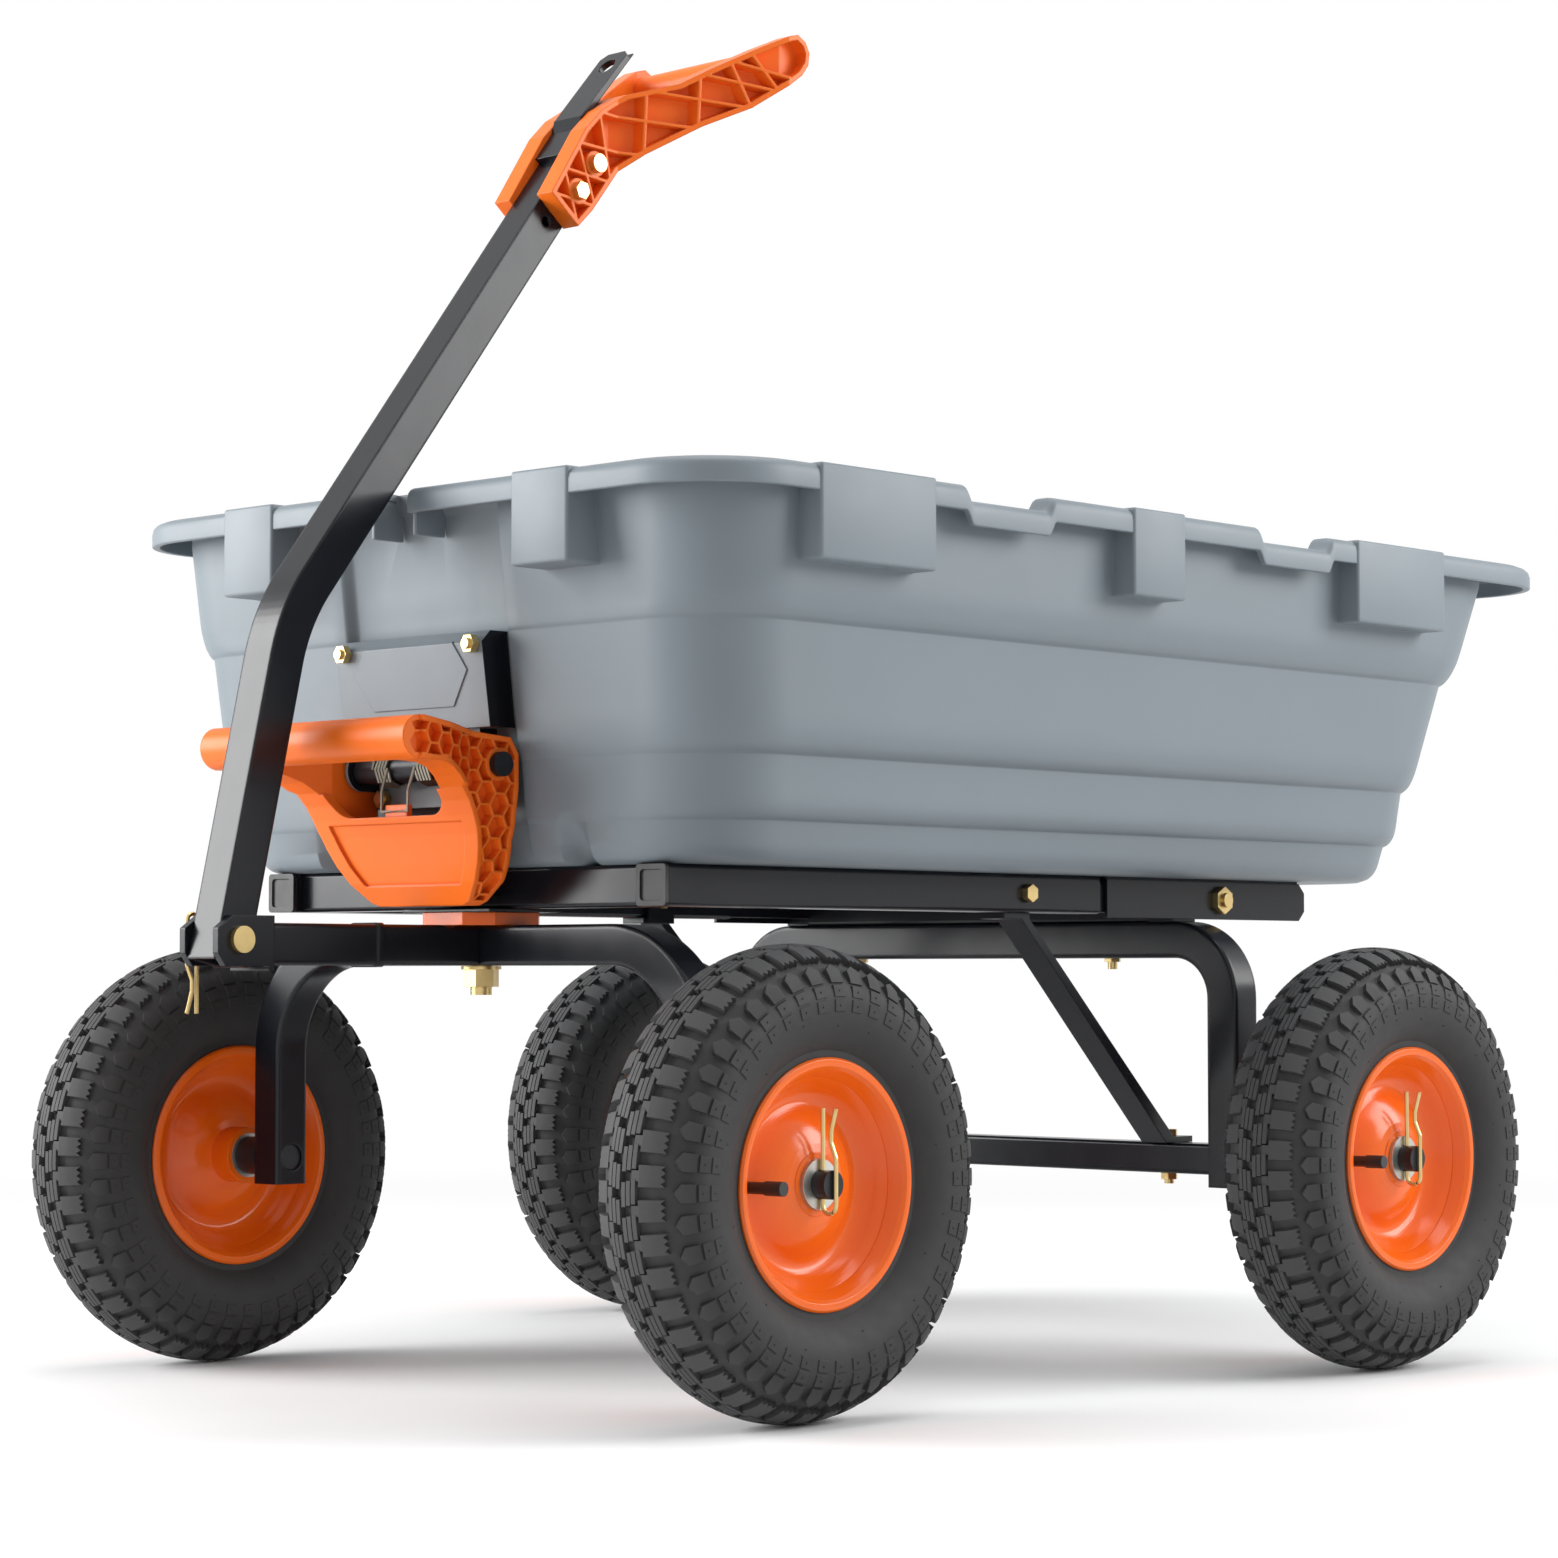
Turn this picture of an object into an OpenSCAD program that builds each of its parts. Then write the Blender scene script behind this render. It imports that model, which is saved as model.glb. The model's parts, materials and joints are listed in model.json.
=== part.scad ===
// Tipping dump cart: a plastic tub that tips back over its rear axle, on a welded tube frame with a
// steered front axle, four pneumatic wheels, a tow handle with a D grip and a sprung dump latch.
// Lengths are in millimetres. The front faces -Y, +X is the cart's left side and the ground is Z = 0.
// The modules measure Y from the front axle; placed() then centres the part on its bounding box.

/* [Wheels] */
// Distance from the front axle to the rear axle
wheelbase = 583; // [578:1:595]
// Middle of each front wheel from the centre plane
front_wheel_x = 317; // [312:1:330]
// Middle of each rear wheel from the centre plane
rear_wheel_x = 402; // [397:1:415]
// Tyre radius over the tread
tyre_r = 165; // [162:1:168]
// Tyre width over the sidewalls
tyre_w = 92; // [88:1:96]
// Rubber thickness of the tyre
tyre_wall = 7; // [6:0.5:8]
// Depth of the tread grooves
groove_depth = 5; // [3:0.5:5]
// Radius over the rim's flanges
rim_r = 87; // [86:0.5:88]
// Radius of the rim where the tyre's beads sit
bead_r = 80; // [79:0.5:81]
// Rim width over the flanges
rim_w = 71; // [69:1:73]
// Sheet thickness of the rim
rim_sheet = 2.5; // [2:0.5:3]
// Outer radius of the hub tube
hub_r = 22; // [21:0.5:24]
// Hub face from the wheel's middle, on the outside
hub_out = 24.5; // [23:0.5:26]
// Hub end from the wheel's middle, on the inside
hub_in = 45; // [40:1:46]
// Outer radius of the wheel bearings
bearing_r = 17.5; // [16:0.5:18.5]
// Width of each wheel bearing
bearing_w = 10; // [8:0.5:12]
// Radius of the stub axles
axle_r = 10; // [9:0.5:11]
// Axle end beyond the washer
axle_nose = 12; // [11:0.5:16]
// Radius of the washers on the axle ends
washer_r = 17.5; // [15:0.5:19]
// Thickness of the washers
washer_t = 3; // [2:0.5:4]
// Wire radius of the spring clips
clip_wire_r = 1.6; // [1.2:0.1:1.8]

/* [Frame] */
// Side of the square frame tube
tube = 30; // [29:0.5:31]
// Wall of the frame tubes
tube_wall = 2; // [1.5:0.25:2.5]
// Outside corner radius of the frame tubes
tube_corner = 3; // [2.75:0.25:4]
// Outer faces of the rails from the centre plane
rail_x = 219.5; // [216:0.5:222]
// Underside of the rails above the ground
rail_z = 357; // [356:0.5:358]
// Front end of the rails, from the front axle
rail_front_y = -22; // [-24:0.5:-20]
// Back end of the rails' full section, from the front axle
rail_back_y = 467; // [455:1:470]
// Tip axis from the front axle
tip_y = 628; // [624:1:634]
// Tip axis above the ground
tip_z = 370; // [369.5:0.5:370.5]
// Radius of the tip bolts
tip_bolt_r = 6; // [5:0.5:6.5]
// Outer half width of the front axle arch
front_arch_x = 249; // [246:0.5:250]
// Top of the front axle arch above the ground
front_arch_z = 345; // [344:0.5:346]
// How far the front arch's legs reach below the axle
front_foot_drop = 21; // [19:1:25]
// Middle bend radius of the front arch
front_bend_r = 84; // [70:1:90]
// Outer half width of the rear axle arch
rear_arch_x = 279; // [275:0.5:282]
// Top of the rear axle arch above the ground
rear_arch_z = 352; // [351:0.5:352]
// How far the rear arch's legs reach below the axle
rear_foot_drop = 29; // [25:1:33]
// Middle bend radius of the rear arch
rear_bend_r = 48; // [40:1:60]
// Side of the square bar between the rear legs
axle_bar = 25; // [24:0.5:26]
// Top of the bar between the rear legs, above the axle
axle_bar_rise = 6; // [5:0.5:7]
// Width of the flat braces
brace_w = 25; // [22:0.5:26]
// Thickness of the flat braces
brace_t = 5; // [4:0.5:6]
// Radius of the kingpin
kingpin_r = 8; // [7:0.5:9]
// Thickness of the steering pad
pad_t = 9.4; // [8:0.1:9.6]
// Half width of the steering pad over its flats
pad_half = 39; // [34:1:42]

/* [Tow handle] */
// Handle hinge pin from the front axle
hinge_y = -246; // [-252:1:-242]
// Handle hinge pin above the ground
hinge_z = 333; // [332:0.5:334]
// Radius of the hinge pin
hinge_pin_r = 6.5; // [6:0.5:7]
// Plate thickness of the hinge bracket
ear_t = 6; // [5:0.5:7]
// Hinge bracket's reach ahead of the pin
ear_nose = 20; // [19:0.5:24]
// Lean of the lower handle tube from upright
lower_lean = 12.7; // [11.5:0.1:13]
// Lean of the upper handle tube from upright
upper_lean = 37.4; // [37:0.1:39]
// Hinge pin to the bend's corner
lower_len = 237; // [232:1:242]
// Bend's corner to the grip's pivot bolt
upper_len = 431; // [425:1:440]
// Middle radius of the handle's bend
handle_bend_r = 150; // [120:5:180]
// Distance between the three cross holes at the grip
grip_pitch = 30; // [28:0.5:31]
// Length of the tow tongue beyond the grip's bolt
tow_len = 143; // [138:1:148]
// Plate thickness of the tow tongue
tow_t = 5; // [4:0.5:6]
// Radius of the tow hole
tow_hole_r = 8; // [6:0.5:9]
// Half width of the D grip over its bar
grip_half = 93; // [88:1:98]
// Half width of the grip's cheeks beside the tube
cheek_half = 32; // [28:0.5:34]
// Radius of the grip's cross bar
grip_bar_r = 14; // [12:0.5:15]

/* [Tub] */
// Top of the tub's rim above the ground
rim_top = 665; // [660:1:668]
// Half width over the tub's rim
tub_half = 332; // [328:1:336]
// Front edge of the rim, from the front axle
tub_front = -94; // [-95:0.5:-92]
// Back edge of the rim, from the front axle
tub_back = 985; // [975:1:990]
// Wall thickness of the tub
tub_wall = 5; // [4:0.5:6]
// Depth of the rim's skirt
skirt = 19; // [17:0.5:21]
// Corner radius of the rim
rim_corner = 76; // [70:1:80]
// Depth of the long dips in the side rims
dip_depth = 11; // [6:1:13]
// Half width of the handle notch in the front rim
notch_half = 21; // [20:0.5:24]
// Width of the front stake pockets
front_pocket_w = 58; // [52:1:62]
// Middle of the front stake pockets from the centre plane
front_pocket_x = 162; // [156:1:168]
// Underside of the stake pockets
pocket_z = 598; // [594:1:604]

/* [Dump latch] */
// Latch pivot from the front axle
latch_y = -68; // [-69:0.5:-67]
// Latch pivot above the ground
latch_z = 460; // [459:0.5:461]
// Radius of the latch pivot bolt
latch_bolt_r = 6; // [5:0.5:6.5]
// Hand bar's axis from the front axle
bar_y = -162; // [-163:0.5:-160]
// Hand bar's axis above the ground
bar_z = 475; // [474:0.5:476]
// Radius of the hand bar
bar_r = 15.5; // [14:0.5:16]
// Half length of the hand bar
bar_half = 113; // [110:0.5:114]
// Underside of the latch's bowl
bowl_z = 359; // [358.5:0.5:359.5]
// Wall of the latch handle
latch_wall = 6; // [5:0.5:7]
// Half width of the bracket plate on the tub
plate_half = 80; // [78:0.5:82]
// Sheet thickness of the bracket
plate_t = 3; // [2.5:0.5:3.5]
// Wire radius of the latch spring
spring_wire_r = 1.3; // [1:0.1:1.5]
// Curls in each half of the latch spring
spring_curls = 5; // [4:1:6]

/* [Hidden] */
$fn = 48;
// Overrun of cuts past the faces they open
over = 1;
// Gap round fixed bars and shanks in their holes
seat = 0.1;
// Radial clearance of turning pins and bores
running = 0.05;
// Side gap between pieces that turn past each other
side_gap = 0.5;
// Gap under sliding plates and between piled pieces
slide_gap = 0.2;

// Wheel sizes that follow from the driving ones
axle_z = tyre_r;
front_foot_z = axle_z - front_foot_drop;
rear_foot_z = axle_z - rear_foot_drop;
axle_bar_z = axle_z + axle_bar_rise;
carcass_power = 2.1;
carcass_mid_r = (tyre_r + bead_r) / 2;
carcass_half_r = (tyre_r - bead_r) / 2;
carcass_start = 45;
carcass_steps = 22;
bead_w = 11;
flange_t = 3;
well_r = 72;
well_half = 13;
well_slope = 7;
dish_points = [[78.5, 29], [72, 22], [65, 11], [58, 6.5], [52, 8], [45, 13.5], [36, 19.5], [28, 22.5]];
corner_share = 0.25;
// From the rim's outer corner, along its rolled lip and down to the dish, as [inward, back]
lip_drops = [[0, 1.5], [1.5, 0], [4, 0], [6, 0.3], [8.5, 2.9], [11, 7], [13.5, 11.5]];
bush_r = axle_r + rim_sheet;
groove_share = 0.16;
groove_w = 4;
valve_r = 62.5;
valve_base_r = 5.5;
valve_stem_r = 4.2;
valve_cap_r = 5;
valve_base_x = 15;
valve_stem_x = 34;
valve_end_x = 49;
valve_lean = 5;
valve_back_x = 2;
washer_x = hub_out + slide_gap;
axle_end_x = washer_x + washer_t + axle_nose;
clip_x = washer_x + washer_t + clip_wire_r + side_gap;
clip_top = 52;
clip_low = 14;
clip_waist_shares = [0.35, 0.55, 0.7];
along_share = 0.9;
clip_bow = 4.5;
collar_r = 15;

// Frame places
rail_mid_x = rail_x - tube / 2;
rail_top = rail_z + tube;
rail_mid_z = rail_z + tube / 2;
rear_y = wheelbase;
tang_w = 25;
tang_r = 11.5;
tail_t = 3;
tang_out = rail_x - tail_t - side_gap;
tang_in = tang_out - tang_w;
tail_gap = 10;
tail_len = 271;
tail_front_y = rail_back_y + tail_gap;
tail_over = 15.5;
tail_under = 16;
tail_top = tip_z + tail_over;
tail_low = tip_z - tail_under;
tail_corner = 8;
pad_top = front_arch_z + pad_t;
bolster_low = pad_top + slide_gap;
bolster_half_x = 48;
bolster_half_y = 36;
pad_chamfer = 17;
king_washer_r = 15;
king_washer_t = 2.5;
king_nut_h = 13;
king_nut_r = 13.5;
king_stud = 6;
king_head_h = 7;
king_head_r = 14;
cap_t = 3;
cap_inset = 4;
cap_plug = 12;
brace_x = 199.5;
brace_top_y = 383;
brace_foot_y = rear_y;
brace_foot_len = 30;
brace_head_len = 26;
bolt_r = 4;
bolt_head_r = 7.2;
bolt_head_h = 5.5;
bolt_tail = 9;
rail_bolt_y = 376.5;
cross_bolt_x = 141.5;
lug_t = 5;
lug_w = 30;
striker_half = 34;
striker_front_y = -52;
striker_low = 366;
striker_t = 5;

// Tow handle places
tongue_back_y = -tube / 2;
tongue_short = 25;
tongue_front_y = hinge_y + tongue_short;
tongue_top = front_arch_z;
seam_y = -112;
seam_w = 6;
seam_proud = 1.2;
ear_in = tube / 2 + side_gap;
ear_out = ear_in + ear_t;
ear_tail = 30;
ear_under = 18.5;
ear_over = 17;
ear_low = hinge_z - ear_under;
ear_high = hinge_z + ear_over;
ear_cut_y = 13;
ear_cut_z = 9;
web_t = 4;
pin_head_r = 9.5;
pin_head_t = 4;
pin_tail = 12;
handle_below = 17;
handle_past = 48;
bend_steps = 12;
bend_turn = upper_lean - lower_lean;
bend_run = handle_bend_r * tan(bend_turn / 2);
upper_y = hinge_y + lower_len * sin(lower_lean);
upper_z = hinge_z + lower_len * cos(lower_lean);
grip_y = upper_y + upper_len * sin(upper_lean);
grip_z = upper_z + upper_len * cos(upper_lean);
grip_bolt_r = 4;
grip_head_r = 7.2;
grip_head_h = 5.5;
jog_u = 52;
jog_len = 10;
jog_v = 4;
tip_v = -1;
tow_low_u = 24;
tow_tip_cut = 8;
tow_hole_u = 126.5;
grip_slot = tube / 2 + side_gap / 2;
grip_wall = 15;
grip_panel_y = 62;
grip_under = 60;
grip_over = 160;
// Side outline of the grip as [along Y, up Z] from its pivot bolt
grip_low = [[0, -27], [15, -12.5], [42, 21.4], [63, 37], [105, 62.5], [142.6, 80.7], [166, 97.6]];
grip_tip = [[186, 112], [193, 121], [194.5, 131], [190, 139], [181, 143.5], [172, 141]];
grip_top = [[150, 130], [112, 109], [88, 94.5], [49, 82.5], [25, 67.5], [8, 50.5], [-28, -4.6]];
grip_reach = 178;
grip_lift = 122;
grip_flare = 42;
grip_bar_y = grip_y + grip_reach;
grip_bar_z = grip_z + grip_lift;
grip_flare_y = grip_y + grip_flare;
ring_r = 11;
// Truss pockets in the outer sides of the grip, with crossed ribs between stations along its edges
truss_depth = 11;
truss_lip = 4;
truss_rib = 2.4;
truss_boss_r = 10;
truss_shares = [0, 0.107, 0.221, 0.376, 0.578, 0.77, 0.881, 0.958];

// Tub front: a shallow bay behind the latch bracket and a scallop beside each corner's foot
bay_half = 86;
bay_ramp = 7;
bay_depth = 8;
scallop_x = 135;
scallop_half = 16;
scallop_depth = 24;
scallop_high = 38;
scallop_steps = 6;
cheek_t = 4;
cheek_low = 630;

// Tub places; levels run up the wall, each step drawing the wall in by one ledge
tub_floor = rail_top + slide_gap;
tub_corner = 74;
wall_front = -68;
wall_half = 313;
wall_back = 932;
under_rim = rim_top - tub_wall;
skirt_low = rim_top - skirt;
rim_round = 9;
// Up the wall: [height above the floor, side draw-in, front draw-in, back draw-in]
tub_levels = [[0, 58, 46, 104], [3, 51, 40, 98], [10, 46, 36, 94], [30.5, 42, 31.5, 89.5],
  [31.8, 39, 30.7, 88.4], [34, 36.3, 30, 87.3], [38.5, 33.6, 29.3, 86], [44, 32.3, 28.4, 84.9],
  [76.5, 30.5, 24.5, 79], [78.7, 27, 23.4, 77.8], [82.5, 23.4, 22.4, 76.4], [89, 20.6, 21.4, 74.6],
  [97, 19, 20.2, 72], [170, 15, 11.5, 42], [172.5, 11.5, 10.4, 39.6], [178, 7.6, 9.6, 36.6],
  [186, 4.3, 8.8, 33.3], [195, 2.5, 7.6, 29.5], [259, 0, 0, 0]];
corner_steps = 7;
dip_spans = [[172, 276], [532, 636]];
dip_ramp = 9;
pocket_spans = [[14, 137], [368, 433], [667, 795]];
pocket_wall = 4;
pocket_proud = 1.5;
pocket_in_x = 300;
pocket_in_y = -56;
notch_back = -66;
notch_low = 636;
tub_bolt_ys = [662, 722];
tub_bolt_r = 4;
tub_bolt_head_r = 8;
tub_bolt_head_h = 3;

// Latch places
plate_top = 558;
plate_mid = 488;
plate_low = 432;
flange_top = 455;
plate_front = -74;
plate_stand = 17;
// Right half of the plate's raised panel as [half width, height]
emboss = [[44, 504], [62, 530], [48.5, 551]];
emboss_proud = 1;
lug_half = 60;
pivot_lug_r = 15;
pivot_tube_r = 10;
pivot_tube_half = lug_half - plate_t - side_gap;
nut_r = 7.2;
nut_h = 6;
stud_proud = 2.5;
bracket_grip = 32;
bracket_bolt_len = bracket_grip + bay_depth;
upper_nut_x = 70.8;
upper_nut_z = 548;
lower_nut_x = 50;
nut_rise = 7.5;
lower_nut_z = plate_low + nut_rise;
arm_in = 63;
arm_out = 92;
latch_head_r = 9;
latch_head_t = 6;
coil_space = 0.7;
coil_pitch = 2 * spring_wire_r + coil_space;
coil_start_x = 15;
bail_half = 14.5;
bowl_rim_z = 424;
tab_half = 12;
tab_z = 433;
tab_t = 5;
tab_y = -85;
bail_z = 428;
bail_y = tab_y - spring_wire_r - slide_gap;
leg_up = 24;
leg_back = 6;
coil_steps = 8;
coil_gap = 0.4;
coil_r = (pivot_tube_r + spring_wire_r + coil_gap) / cos(180 / coil_steps);
wire_sides = 6;
// Side outline of the latch handle as [along Y, up Z] from its pivot, down the front and up the back
latch_front = [[-70, -1], [-57, -4], [-45, -9.5], [-35, -17], [-27, -26.5], [-21, -37], [-15, -50],
  [-11, -61], [-7, -72], [-2, -84], [8, -101]];
latch_back = [[24, -101], [27, -82], [20, -55], [20, 8], [12, 20], [-15.5, 22]];
latch_depth = 40;
recess_border = 15;
recess_depth = 2.5;
opening_round = 18;
opening_steps = 6;
// Honeycomb pockets in the outer sides of the latch handle
cell_pitch = 16;
cell_wall = 1.8;
cell_depth = 9;
cell_lip = 4;
cell_boss_r = 12;
cell_rows = 9;
cell_columns = 10;
// Front outline of the latch handle as [half width, height]
shield = [[46, 0], [54, 3], [69, 17], [78, 30], [84, 43], [88, 56], [92, 84]];
// Plan outline of the latch handle as [half width, Y]
flare = [[92, -93], [109, -129], [116, -160], [113, -178]];

front_end = hinge_y - ear_nose;
middle_y = (front_end + tub_back) / 2;

// Shared helpers
module placed() {
  translate([0, -middle_y, 0])
    children();
}

module both_sides() {
  children();
  mirror([1, 0, 0])
    children();
}

// Turns a piece drawn about Z so that its axis runs out along +X
module on_axle(x, y) {
  translate([x, y, axle_z])
    rotate([0, 90, 0])
      children();
}

module rounded_square(size, corner) {
  square([size, size - 2 * corner], center = true);
  square([size - 2 * corner, size], center = true);
  for (sx = [-1, 1], sy = [-1, 1])
    translate([sx * (size / 2 - corner), sy * (size / 2 - corner)])
      circle(r = corner);
}

module tube_section(size = tube) {
  difference() {
    rounded_square(size, tube_corner);
    rounded_square(size - 2 * tube_wall, tube_corner - tube_wall);
  }
}

module tube_along_y(x, z, from, to, size = tube) {
  translate([x, from, z])
    rotate([-90, 0, 0])
      linear_extrude(to - from)
        tube_section(size);
}

module tube_along_x(y, z, half, size = tube) {
  translate([-half, y, z])
    rotate([0, 90, 0])
      linear_extrude(2 * half)
        tube_section(size);
}

module rod_x(y, z, from, to, r) {
  translate([from, y, z])
    rotate([0, 90, 0])
      cylinder(h = to - from, r = r);
}

module block(low, high) {
  translate(low)
    cube(high - low);
}

// Extrudes a [Y, Z] outline along X, from one X to another
module side_plate(from, to) {
  translate([from, 0, 0])
    rotate([90, 0, 90])
      linear_extrude(to - from)
        children();
}

module hex(r, h) {
  linear_extrude(h)
    circle(r = r, $fn = 6);
}

function unit(v) = v / norm(v);

// Mitred inset of an outline that runs anticlockwise
function inset_outline(points, d) = let (n = len(points))
  [for (i = [0:n - 1])
    let (u = unit(points[i] - points[(i + n - 1) % n]), v = unit(points[(i + 1) % n] - points[i]),
      m = [-u[1] - v[1], u[0] + v[0]])
    points[i] + m * 2 * d / (m * m)];

// Place at a share of the way along an open line of points
// Cuts every corner of an open line once, keeping its ends
function softened(points) = concat([points[0]],
  [for (i = [1:len(points) - 2], k = [-1, 1]) points[i] + (points[i + k] - points[i]) * corner_share],
  [points[len(points) - 1]]);

function run_of(points, i) = i == 0 ? 0 : run_of(points, i - 1) + norm(points[i] - points[i - 1]);

function along_line(points, share) = let (n = len(points), at = share * run_of(points, n - 1),
    runs = [for (i = [0:n - 1]) run_of(points, i)])
  [for (k = [0, 1]) lookup(at, [for (i = [0:n - 1]) [runs[i], points[i][k]]])];

// One round wire swept along a path, closed at both ends
module swept_wire(path, r) {
  n = len(path);
  rings = [for (i = [0:n - 1])
    let (t = unit(path[min(i + 1, n - 1)] - path[max(i - 1, 0)]),
      side = unit(cross(t, abs(t[0]) < along_share ? [1, 0, 0] : [0, 0, 1])),
      up = cross(side, t))
    [for (k = [0:wire_sides - 1])
      path[i] + r * (side * cos(360 * k / wire_sides) + up * sin(360 * k / wire_sides))]];
  polyhedron(points = [for (ring = rings) each ring],
    faces = concat([[for (k = [wire_sides - 1:-1:0]) k]],
      [for (i = [0:n - 2], k = [0:wire_sides - 1]) let (j = (k + 1) % wire_sides)
        each [[i * wire_sides + k, i * wire_sides + j, (i + 1) * wire_sides + k],
          [i * wire_sides + j, (i + 1) * wire_sides + j, (i + 1) * wire_sides + k]]],
      [[for (k = [0:wire_sides - 1]) (n - 1) * wire_sides + k]]));
}

// Spring clip as [out, up]: a straight leg through the pin, a turn below, a bowed leg outside
function clip_path(out) = concat(
  [[0, clip_top], [0, 0]],
  [for (i = [0:coil_steps]) let (a = 180 + 180 * i / coil_steps)
    [out / 2 + out / 2 * cos(a), -clip_low + out / 2 * sin(a)]],
  [[out, 0], [out, clip_top * clip_waist_shares[0]], [out - clip_bow, clip_top * clip_waist_shares[1]],
   [out - clip_bow, clip_top * clip_waist_shares[2]], [out, clip_top]]);

// Wheels
function signed_pow(v, p) = sign(v) * pow(abs(v), p);

function carcass(inset) = [for (i = [0:carcass_steps])
  let (a = -carcass_start + i * (180 + 2 * carcass_start) / carcass_steps)
  [carcass_mid_r + (carcass_half_r - inset) * signed_pow(sin(a), 2 / carcass_power),
   (tyre_w / 2 - inset) * signed_pow(cos(a), 2 / carcass_power)]];

module tyre() {
  bead_out = rim_w / 2 - flange_t;
  bead_in = bead_out - bead_w;
  outer = carcass(0);
  inner = carcass(tyre_wall);
  inside = [for (i = [carcass_steps:-1:0]) inner[i]];
  difference() {
    rotate_extrude()
      polygon(concat([[bead_r, bead_out], [rim_r + over, bead_out]], outer,
        [[rim_r + over, -bead_out], [bead_r, -bead_out], [bead_r, -bead_in]], inside, [[bead_r, bead_in]]));
    for (s = [-1, 1])
      translate([0, 0, s * tyre_w * groove_share - groove_w / 2])
        difference() {
          cylinder(h = groove_w, r = tyre_r + over);
          translate([0, 0, -over])
            cylinder(h = groove_w + 2 * over, r = tyre_r - groove_depth);
        }
  }
}

module rim() {
  edge = rim_w / 2;
  seat_x = edge - flange_t;
  inner_r = bead_r - rim_sheet;
  well_top = well_half + well_slope;
  lip = [for (d = lip_drops) [rim_r - d[0], edge - d[1]]];
  face = concat(softened(softened(dish_points)), [[hub_r - rim_sheet, hub_out]]);
  back = [for (i = [len(face) - 1:-1:0]) [face[i][0], face[i][1] - rim_sheet]];
  difference() {
    union() {
      rotate_extrude()
        polygon(concat([[rim_r, seat_x], [bead_r, seat_x], [bead_r, well_top], [well_r, well_half],
          [well_r, -well_half], [bead_r, -well_top], [bead_r, -seat_x], [rim_r, -seat_x]],
          [for (p = lip) [p[0], -p[1]]],
          [[inner_r, -well_top + rim_sheet / 2], [well_r - rim_sheet, -well_half + rim_sheet / 2],
           [well_r - rim_sheet, well_half - rim_sheet / 2], [inner_r, well_top - rim_sheet / 2]],
          [for (i = [len(lip) - 1:-1:0]) lip[i]]));
      for (s = [0, 1])
        mirror([0, 0, s])
          rotate_extrude()
            polygon(concat(face, back));
      rotate_extrude()
        polygon([[bearing_r, hub_out], [hub_r, hub_out], [hub_r, -hub_in], [bearing_r, -hub_in],
          [bearing_r, -hub_in + bearing_w], [bush_r, -hub_in + bearing_w], [bush_r, hub_out - bearing_w],
          [bearing_r, hub_out - bearing_w]]);
    }
    valve_axis()
      cylinder(h = valve_stem_x, r = valve_base_r + seat);
  }
}

module bearings() {
  for (z = [-hub_in, hub_out - bearing_w])
    translate([0, 0, z])
      difference() {
        cylinder(h = bearing_w, r = bearing_r);
        translate([0, 0, -over])
          cylinder(h = bearing_w + 2 * over, r = axle_r + running);
      }
}

// The valve leans in toward the hub about its base
module valve_axis() {
  translate([0, -valve_r, valve_base_x])
    rotate([-valve_lean, 0, 0])
      translate([0, 0, -valve_base_x])
        children();
}

module valve() {
  valve_axis() {
    translate([0, 0, valve_back_x])
      cylinder(h = valve_base_x - valve_back_x, r = valve_base_r);
    translate([0, 0, valve_base_x])
      cylinder(h = valve_stem_x - valve_base_x, r = valve_stem_r);
    translate([0, 0, valve_stem_x])
      cylinder(h = valve_end_x - valve_stem_x, r = valve_cap_r);
  }
}

module wheel_piece(side, x, y, tint) {
  color(tint)
    placed()
      mirror([side < 0 ? 1 : 0, 0, 0])
        on_axle(x, y)
          children();
}

module stub_axle(leg_out, x, y) {
  difference() {
    union() {
      rod_x(y, axle_z, leg_out - tube + tube_wall, x + axle_end_x, axle_r);
      rod_x(y, axle_z, leg_out, x - hub_in - side_gap, collar_r);
    }
    translate([x + clip_x, y, axle_z - axle_r - over])
      cylinder(h = 2 * (axle_r + over), r = clip_wire_r + seat);
  }
}

module washer(x, y) {
  on_axle(x + washer_x, y)
    difference() {
      cylinder(h = washer_t, r = washer_r);
      translate([0, 0, -over])
        cylinder(h = washer_t + 2 * over, r = axle_r + seat);
    }
}

module axle_clip(x, y) {
  out = axle_end_x - clip_x + clip_wire_r + side_gap;
  swept_wire([for (p = clip_path(out)) [x + clip_x + p[0], y, axle_z + p[1]]], clip_wire_r);
}

module front_washers() {
  color("silver")
    placed()
      both_sides()
        washer(front_wheel_x, 0);
}

module rear_washers() {
  color("silver")
    placed()
      both_sides()
        washer(rear_wheel_x, rear_y);
}

module front_axle_clips() {
  color("goldenrod")
    placed()
      both_sides()
        axle_clip(front_wheel_x, 0);
}

module rear_axle_clips() {
  color("goldenrod")
    placed()
      both_sides()
        axle_clip(rear_wheel_x, rear_y);
}

// Frame
module hex_bolt(at, length, r = bolt_r, head_r = bolt_head_r, head_h = bolt_head_h) {
  translate(at) {
    cylinder(h = length, r = r);
    translate([0, 0, length])
      hex(head_r, head_h);
    translate([0, 0, -head_h])
      hex(head_r, head_h);
    translate([0, 0, -bolt_tail])
      cylinder(h = bolt_tail, r = r);
  }
}

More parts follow.
